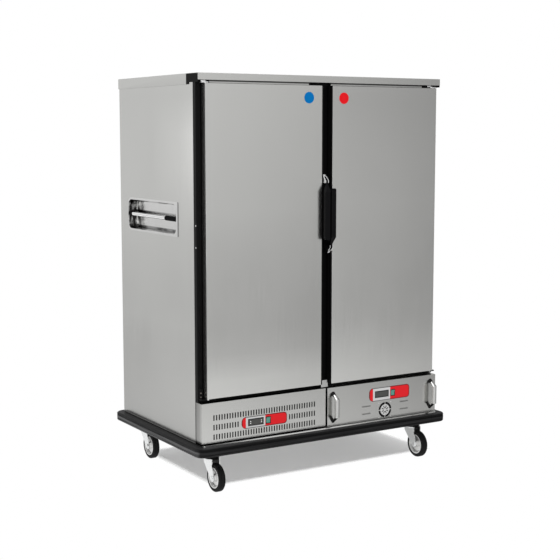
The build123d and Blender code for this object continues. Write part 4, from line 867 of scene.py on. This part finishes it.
class TROLLEY_OT_latches(bpy.types.Operator):
    """Latch levers, pivot brackets, keepers and hinges"""

    bl_idname = "trolley.latches"
    bl_label = "Latches and hinges"

    def execute(self, context):
        tones = colours()
        chrome = bright_finish("Fittings chrome", tones.chrome, roughness=0.10)
        lever = moulded_finish(
            "Lever black", tones.lever, roughness=0.20, gloss=0.08, grain=1400.0, depth=0.00003
        )
        for side in SIDES:
            dress(f"{side}_latch_lever", lever, edge=0.0020, segments=3)
            dress(f"{side}_latch_bracket", chrome, edge=0.0006)
        foot_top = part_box("front_frame")[0].z + FOOT_BRACKET
        low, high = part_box("hinge_brackets")
        half_height = (low.z + high.z) / 2

        def foot_bracket(shader):
            return shader.along("Z") < foot_top

        def knuckles(shader):
            across = abs(shader.along("X")) - (high.x - PIN_INSET)
            deep = shader.along("Y") - (low.y + PIN_DEPTH)
            near = (across * across + deep * deep) < KNUCKLE * KNUCKLE
            return near.at_least(shader.along("Z") > half_height)

        keepers = fitting_finish("Keeper coating", tones.satin, foot_bracket)
        dress("mullion_keepers", keepers, edge=0.0005)
        hinges = fitting_finish("Hinge plating", tones.chrome, knuckles)
        dress("hinge_brackets", hinges, edge=0.0005)
        return {"FINISHED"}


class TROLLEY_OT_grips(bpy.types.Operator):
    """Recessed side grips"""

    bl_idname = "trolley.grips"
    bl_label = "Side grips"

    def execute(self, context):
        tones = colours()
        dish = dish_finish("Pressed dish", tones.polished, *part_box("grip_dishes"))
        dress("grip_dishes", dish, edge=0.0005)
        bar = bright_finish("Grip chrome", tones.chrome, roughness=0.06)
        dress("grip_bars", bar, edge=0.0008)
        sleeve = moulded_finish("Grip sleeve", tones.lever, roughness=0.36, gloss=0.01)
        dress("grip_bushes", sleeve, edge=0.0020, segments=3)
        return {"FINISHED"}


class TROLLEY_OT_controls(bpy.types.Operator):
    """Control panels, display units and rocker switches"""

    bl_idname = "trolley.controls"
    bl_label = "Controls"

    def execute(self, context):
        rocker = switch_finish("Rocker green", colours().green)
        key_marks = ((0.16, 0.36), (0.16, 0.62), (0.86, 0.38), (0.86, 0.64))
        red_end, pale_margin = 0.020, 0.009
        for name, marks in (("cold", key_marks), ("hot", ())):
            low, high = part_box(f"{name}_control_module")
            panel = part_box(f"{name}_overlay")
            corner = Vector((low.x + DISPLAY_WIDTH, high.y, high.z))
            pale = (panel[0].x + red_end, corner.x + pale_margin)
            printed = overlay_finish(f"Printed panel {name}", *panel, *pale)
            dress(f"{name}_overlay", printed, edge=0.0004)
            unit = display_finish(f"Display unit {name}", low, corner, marks)
            dress(f"{name}_control_module", unit, edge=0.0004)
            dress(f"{name}_rocker", rocker, edge=0.0008)
        return {"FINISHED"}


def fan_plastic():
    """The fans' black plastic."""
    return moulded_finish("Fan plastic", colours().machine, roughness=0.50, gloss=0.10)


class TROLLEY_OT_drawer(bpy.types.Operator):
    """Bow handles, drawer box, heating element and drawer fan"""

    bl_idname = "trolley.drawer"
    bl_label = "Heater drawer"

    def execute(self, context):
        tones = colours()
        grips = bright_finish("Grip satin aluminium", tones.grip, roughness=0.30)
        dress("handle_grips", grips, edge=0.0020, segments=3)
        low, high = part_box("handle_feet")
        bright_share = 0.62
        outer = low.y + bright_share * (high.y - low.y)

        # Painted light: the upper feet's outer halves are plated where they catch the light, and
        # the rest stays black where the feet are in shade
        def caps(shader):
            return (shader.along("Z") > (low.z + high.z) / 2) * (shader.along("Y") < outer)

        dress("handle_feet", fitting_finish("Handle foot", tones.satin, caps), edge=0.0008)
        dress("drawer_box", steel_finish("Inside grain across", tones.inside, ACROSS, BRIGHT))
        dress("heating_element", bright_finish("Heater tube", tones.heater, roughness=0.38))
        for node in ("drawer_fan_frame", "drawer_fan_rotor"):
            dress(node, fan_plastic())
        return {"FINISHED"}


class TROLLEY_OT_machine(bpy.types.Operator):
    """Cooling machine, linings, racks and insulation"""

    bl_idname = "trolley.machine"
    bl_label = "Machine and bays"

    def execute(self, context):
        tones = colours()
        inside = steel_finish("Inside grain upright", tones.inside, UPRIGHT, DULL)
        enamel = moulded_finish(
            "Compressor paint", tones.machine, roughness=0.32, gloss=0.3, grain=300.0, depth=0.00020
        )
        dress("compressor", enamel, edge=0.0010)
        dress("condenser", bright_finish("Coil aluminium", tones.coil, roughness=0.34))
        for node in ("condenser_fan_rotor", "evaporator_fan_rotor"):
            dress(node, fan_plastic())
        dress("evaporator_cover", inside)
        dress("liners", inside)
        dress("rack_ladders", steel_finish("Rack grain along", tones.inside, DEEP, DULL))
        gland = moulded_finish("Gland nylon", tones.black, roughness=0.42)
        dress("mains_gland", gland, edge=0.0006)
        for side in SIDES:
            dress(f"{side}_door_inner_pan", inside)
        paint("insulation", foam_finish("Foam", tones.foam))
        return {"FINISHED"}


class TROLLEY_OT_casters(bpy.types.Operator):
    """Swivel casters"""

    bl_idname = "trolley.casters"
    bl_label = "Casters"

    def execute(self, context):
        tones = colours()
        tyre = rubber_finish("Tyre rubber", tones.tyre, dust=0.30)
        plate_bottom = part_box("caster_plates")[1].z - PLATE_SHEET

        # Painted shade: black below the plate's sheet, on the race and kingpin, stands in for the
        # shadow under the plate
        def plate(shader):
            return shader.along("Z") > plate_bottom

        plating = fitting_finish("Caster plate plating", tones.zinc, plate)
        dress("caster_plates", plating, edge=0.0005)
        for corner in CORNERS:
            fork_x = middle_of(f"{corner}_fork").x

            # Painted shade: black between the fork's outer faces stands in for the dark inside of
            # its crown
            def outside(shader, fork_x=fork_x):
                return abs(shader.along("X") - fork_x) > FORK_INSIDE

            fork = fitting_finish(f"Fork plating {corner}", tones.zinc, outside)
            dress(f"{corner}_fork", fork, edge=0.0008)
            rim = rim_finish(f"Wheel centre {corner}", tones.rim, *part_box(f"{corner}_rim"))
            dress(f"{corner}_rim", rim, edge=0.0006)
            dress(f"{corner}_tyre", tyre, edge=0.0005)
        return {"FINISHED"}


class TROLLEY_OT_fasteners(bpy.types.Operator):
    """Screw heads and caster bolts"""

    bl_idname = "trolley.fasteners"
    bl_label = "Fasteners"

    def fan_screws(self):
        """Four heads on the drawer front, at the corners of its fan."""
        sheet = 0.0012
        middle = middle_of("drawer_fan_frame")
        face_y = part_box("drawer_fan_frame")[0].y - sheet
        reach = sizes().fan_screw_reach
        return [
            ((middle.x + across * reach, face_y, middle.z + up * reach), FRONT)
            for across in SIGNS
            for up in SIGNS
        ]

    def stile_screws(self):
        """Two heads on the outer face of each stile."""
        inset, heights = 0.0066, (1.074, 1.166)
        low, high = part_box("front_frame")
        return [
            ((sign * high.x, low.y + inset, height), (sign, 0.0, 0.0))
            for sign in SIGNS
            for height in heights
        ]

    def hinge_screws(self):
        """Two heads on the tab of each lower hinge bracket."""
        inset, proud, rises = 0.0095, 0.004, (0.018, 0.036)
        low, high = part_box("hinge_brackets")
        tab_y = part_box("front_frame")[0].y - proud
        return [
            ((sign * (high.x - inset), tab_y, low.z + rise), FRONT)
            for sign in SIGNS
            for rise in rises
        ]

    def caster_bolts(self):
        """Four heads under each caster plate."""
        reach_x, reach_y, sheet = 0.043, 0.029, 0.004
        plate_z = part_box("caster_plates")[1].z - sheet
        places = []
        for corner in CORNERS:
            x = middle_of(f"{corner}_fork").x
            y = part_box(f"{corner}_fork")[1].y - sizes().crown_reach
            places += [
                ((x + across * reach_x, y + deep * reach_y, plate_z), DOWN)
                for across in SIGNS
                for deep in SIGNS
            ]
        return places

    def execute(self, context):
        screw = sizes().screw_radius
        bolt = sizes().bolt_radius
        bright = bright_finish("Screw steel", colours().chrome, roughness=0.22)
        dull = bright_finish("Screw zinc", colours().heater, roughness=0.34)
        tree = fastener_tree()
        # Piece, body, slot, places, head radius, head height and finish
        rows = (
            ("fan_screws", "heater_drawer", "chrome", self.fan_screws(), 0.0026, 0.0010, bright),
            ("stile_screws", "cabinet", "chrome", self.stile_screws(), screw, 0.0012, bright),
            ("hinge_screws", "cabinet", "chrome", self.hinge_screws(), screw, 0.0016, dull),
            ("caster_bolts", "cabinet", "zinc", self.caster_bolts(), bolt, 0.0045, bright),
        )
        for row in rows:
            add_fasteners(tree, *row)
        return {"FINISHED"}


class TROLLEY_OT_dots(bpy.types.Operator):
    """Coloured dots that tell the cold door from the hot one"""

    bl_idname = "trolley.dots"
    bl_label = "Door dots"

    def execute(self, context):
        size = sizes()
        tones = colours()
        # Door, middle across, label and colour
        dots = (("left", -0.096, "cold", tones.blue), ("right", 0.087, "hot", tones.red))
        for side, x, label, tone in dots:
            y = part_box(f"{side}_door_skin")[0].y
            work = bmesh.new()
            bmesh.ops.create_circle(work, cap_ends=True, radius=size.dot_radius, segments=64)
            raised = bmesh.ops.extrude_face_region(work, geom=work.faces[:])
            moved = [item for item in raised["geom"] if isinstance(item, bmesh.types.BMVert)]
            bmesh.ops.translate(work, verts=moved, vec=(0.0, 0.0, size.dot_sheet))
            bmesh.ops.recalc_face_normals(work, faces=work.faces)
            for vertex in work.verts:
                flat = vertex.co.copy()
                vertex.co = Vector((x + flat.x, y - flat.z, size.dot_height + flat.y))
            mesh = bpy.data.meshes.new(f"{label}_dot")
            work.to_mesh(mesh)
            work.free()
            shade_smooth(mesh)
            mesh.materials.append(dot_finish(f"Dot {label}", tone))
            dot = link(f"{label}_dot", mesh)
            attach(dot, f"{side}_door")
        return {"FINISHED"}


class TROLLEY_OT_stage(bpy.types.Operator):
    """Studio floor, light and camera"""

    bl_idname = "trolley.stage"
    bl_label = "Stage"

    def add_floor(self):
        reach = sizes().floor_reach
        mesh = bpy.data.meshes.new("studio_floor")
        square = ((-reach, -reach), (reach, -reach), (reach, reach), (-reach, reach))
        mesh.from_pydata([(x, y, 0.0) for x, y in square], [], [(0, 1, 2, 3)])
        mesh.materials.append(floor_finish("Studio floor", colours().floor))
        link("studio_floor", mesh)

    def add_world(self):
        """White to the eye; metal sees that backdrop fall off low down and at the front right."""
        fall_low = (
            (0.0, 1.0), (0.380, 1.0), (0.412, 0.42), (0.47, 0.66), (0.53, 0.87), (1.0, 0.84)
        )
        fall_right = (
            (0.0, 0.82), (0.25, 0.91), (0.72, 1.0), (0.775, 0.78), (0.86, 0.25), (1.0, 0.15)
        )
        rays = ("Is Camera Ray", "Is Glossy Ray", "Is Transmission Ray")
        world = bpy.data.worlds.new("Studio")
        bpy.context.scene.world = world
        world.use_nodes = True
        room = Tree(world.node_tree)
        way = room.node("ShaderNodeTexCoord", {}, {}, "Generated")
        up = room.node("ShaderNodeSeparateXYZ", {}, {0: way}, "Z")
        right = room.node("ShaderNodeSeparateXYZ", {}, {0: way}, "X")
        rise = room.ramp(up * 0.5 + 0.5, fall_low)
        side = room.ramp(right * 0.5 + 0.5, fall_right)
        tone = room.mix(1.0, rise, side, "MULTIPLY")
        eye, gloss, glass = (room.node("ShaderNodeLightPath", {}, {}, ray) for ray in rays)
        backdrop = room.mix(gloss, WHITE, tone)
        shown = room.node("ShaderNodeBackground", {}, {"Color": backdrop, "Strength": 1.0})
        plain = {"Color": (*WHITE, 1.0), "Strength": 0.92}
        light = room.node("ShaderNodeBackground", {}, plain)
        seen = (eye + gloss + glass).at_most(1.0)
        choice = room.node("ShaderNodeMixShader", {}, {0: seen, 1: light, 2: shown})
        room.tree.links.new(choice.socket, room.tree.nodes["World Output"].inputs["Surface"])

    def stand(self, name, data, place, ahead):
        """Adds a lamp or the camera at a place, looking ahead."""
        obj = link(name, data)
        obj.location = place
        obj.rotation_mode = "QUATERNION"
        obj.rotation_quaternion = ahead.to_track_quat("-Z", "Y")
        return obj

    def add_lamp(self, name, place, size, power):
        """Adds a softbox that points at the middle of the trolley."""
        aim = Vector((0.0, 0.0, 0.9))
        lamp = bpy.data.lights.new(name, "AREA")
        lamp.shape = "RECTANGLE"
        lamp.size, lamp.size_y = size
        lamp.energy = power
        self.stand(name, lamp, place, aim - Vector(place))

    def add_camera(self):
        size = sizes()
        turn, tilt = size.camera_turn, size.camera_tilt
        camera = bpy.data.cameras.new("Camera")
        camera.lens = size.camera_lens
        camera.clip_end = 200.0
        level = math.cos(tilt)
        ahead = Vector((math.sin(turn) * level, math.cos(turn) * level, -math.sin(tilt)))
        bpy.context.scene.camera = self.stand("Camera", camera, size.camera_place, ahead)

    def execute(self, context):
        context.scene.view_settings.view_transform = "Standard"
        self.add_floor()
        self.add_world()
        self.add_lamp("Top softbox", (-0.3, -0.9, 5.6), (3.2, 3.2), 90.0)
        self.add_lamp("Front left softbox", (-4.5, -4.0, 2.6), (2.5, 3.0), 9.0)
        self.add_camera()
        return {"FINISHED"}


PIECES = (
    TROLLEY_OT_sheets,
    TROLLEY_OT_black_frame,
    TROLLEY_OT_bumper,
    TROLLEY_OT_latches,
    TROLLEY_OT_grips,
    TROLLEY_OT_controls,
    TROLLEY_OT_drawer,
    TROLLEY_OT_machine,
    TROLLEY_OT_casters,
    TROLLEY_OT_fasteners,
    TROLLEY_OT_dots,
    TROLLEY_OT_stage,
)


class TROLLEY_PT_sidebar(bpy.types.Panel):
    """Trolley settings and pieces"""

    bl_idname = "TROLLEY_PT_sidebar"
    bl_label = "Banquet trolley"
    bl_space_type = "VIEW_3D"
    bl_region_type = "UI"
    bl_category = "Trolley"

    def draw(self, context):
        for group in (context.scene.trolley_sizes, context.scene.trolley_colours):
            column = self.layout.column()
            for name in group.bl_rna.properties.keys():
                if name not in ("rna_type", "name"):
                    column.prop(group, name)
        for piece in PIECES:
            self.layout.operator(piece.bl_idname)


CLASSES = (TrolleySizes, TrolleyColours, *PIECES, TROLLEY_PT_sidebar)


def register():
    for item in CLASSES:
        bpy.utils.register_class(item)
    bpy.types.Scene.trolley_sizes = bpy.props.PointerProperty(type=TrolleySizes)
    bpy.types.Scene.trolley_colours = bpy.props.PointerProperty(type=TrolleyColours)


def unregister():
    del bpy.types.Scene.trolley_colours
    del bpy.types.Scene.trolley_sizes
    for item in reversed(CLASSES):
        bpy.utils.unregister_class(item)


def main():
    register()
    for piece in PIECES:
        area, action = piece.bl_idname.split(".")
        getattr(getattr(bpy.ops, area), action)()


if __name__ == "__main__":
    main()
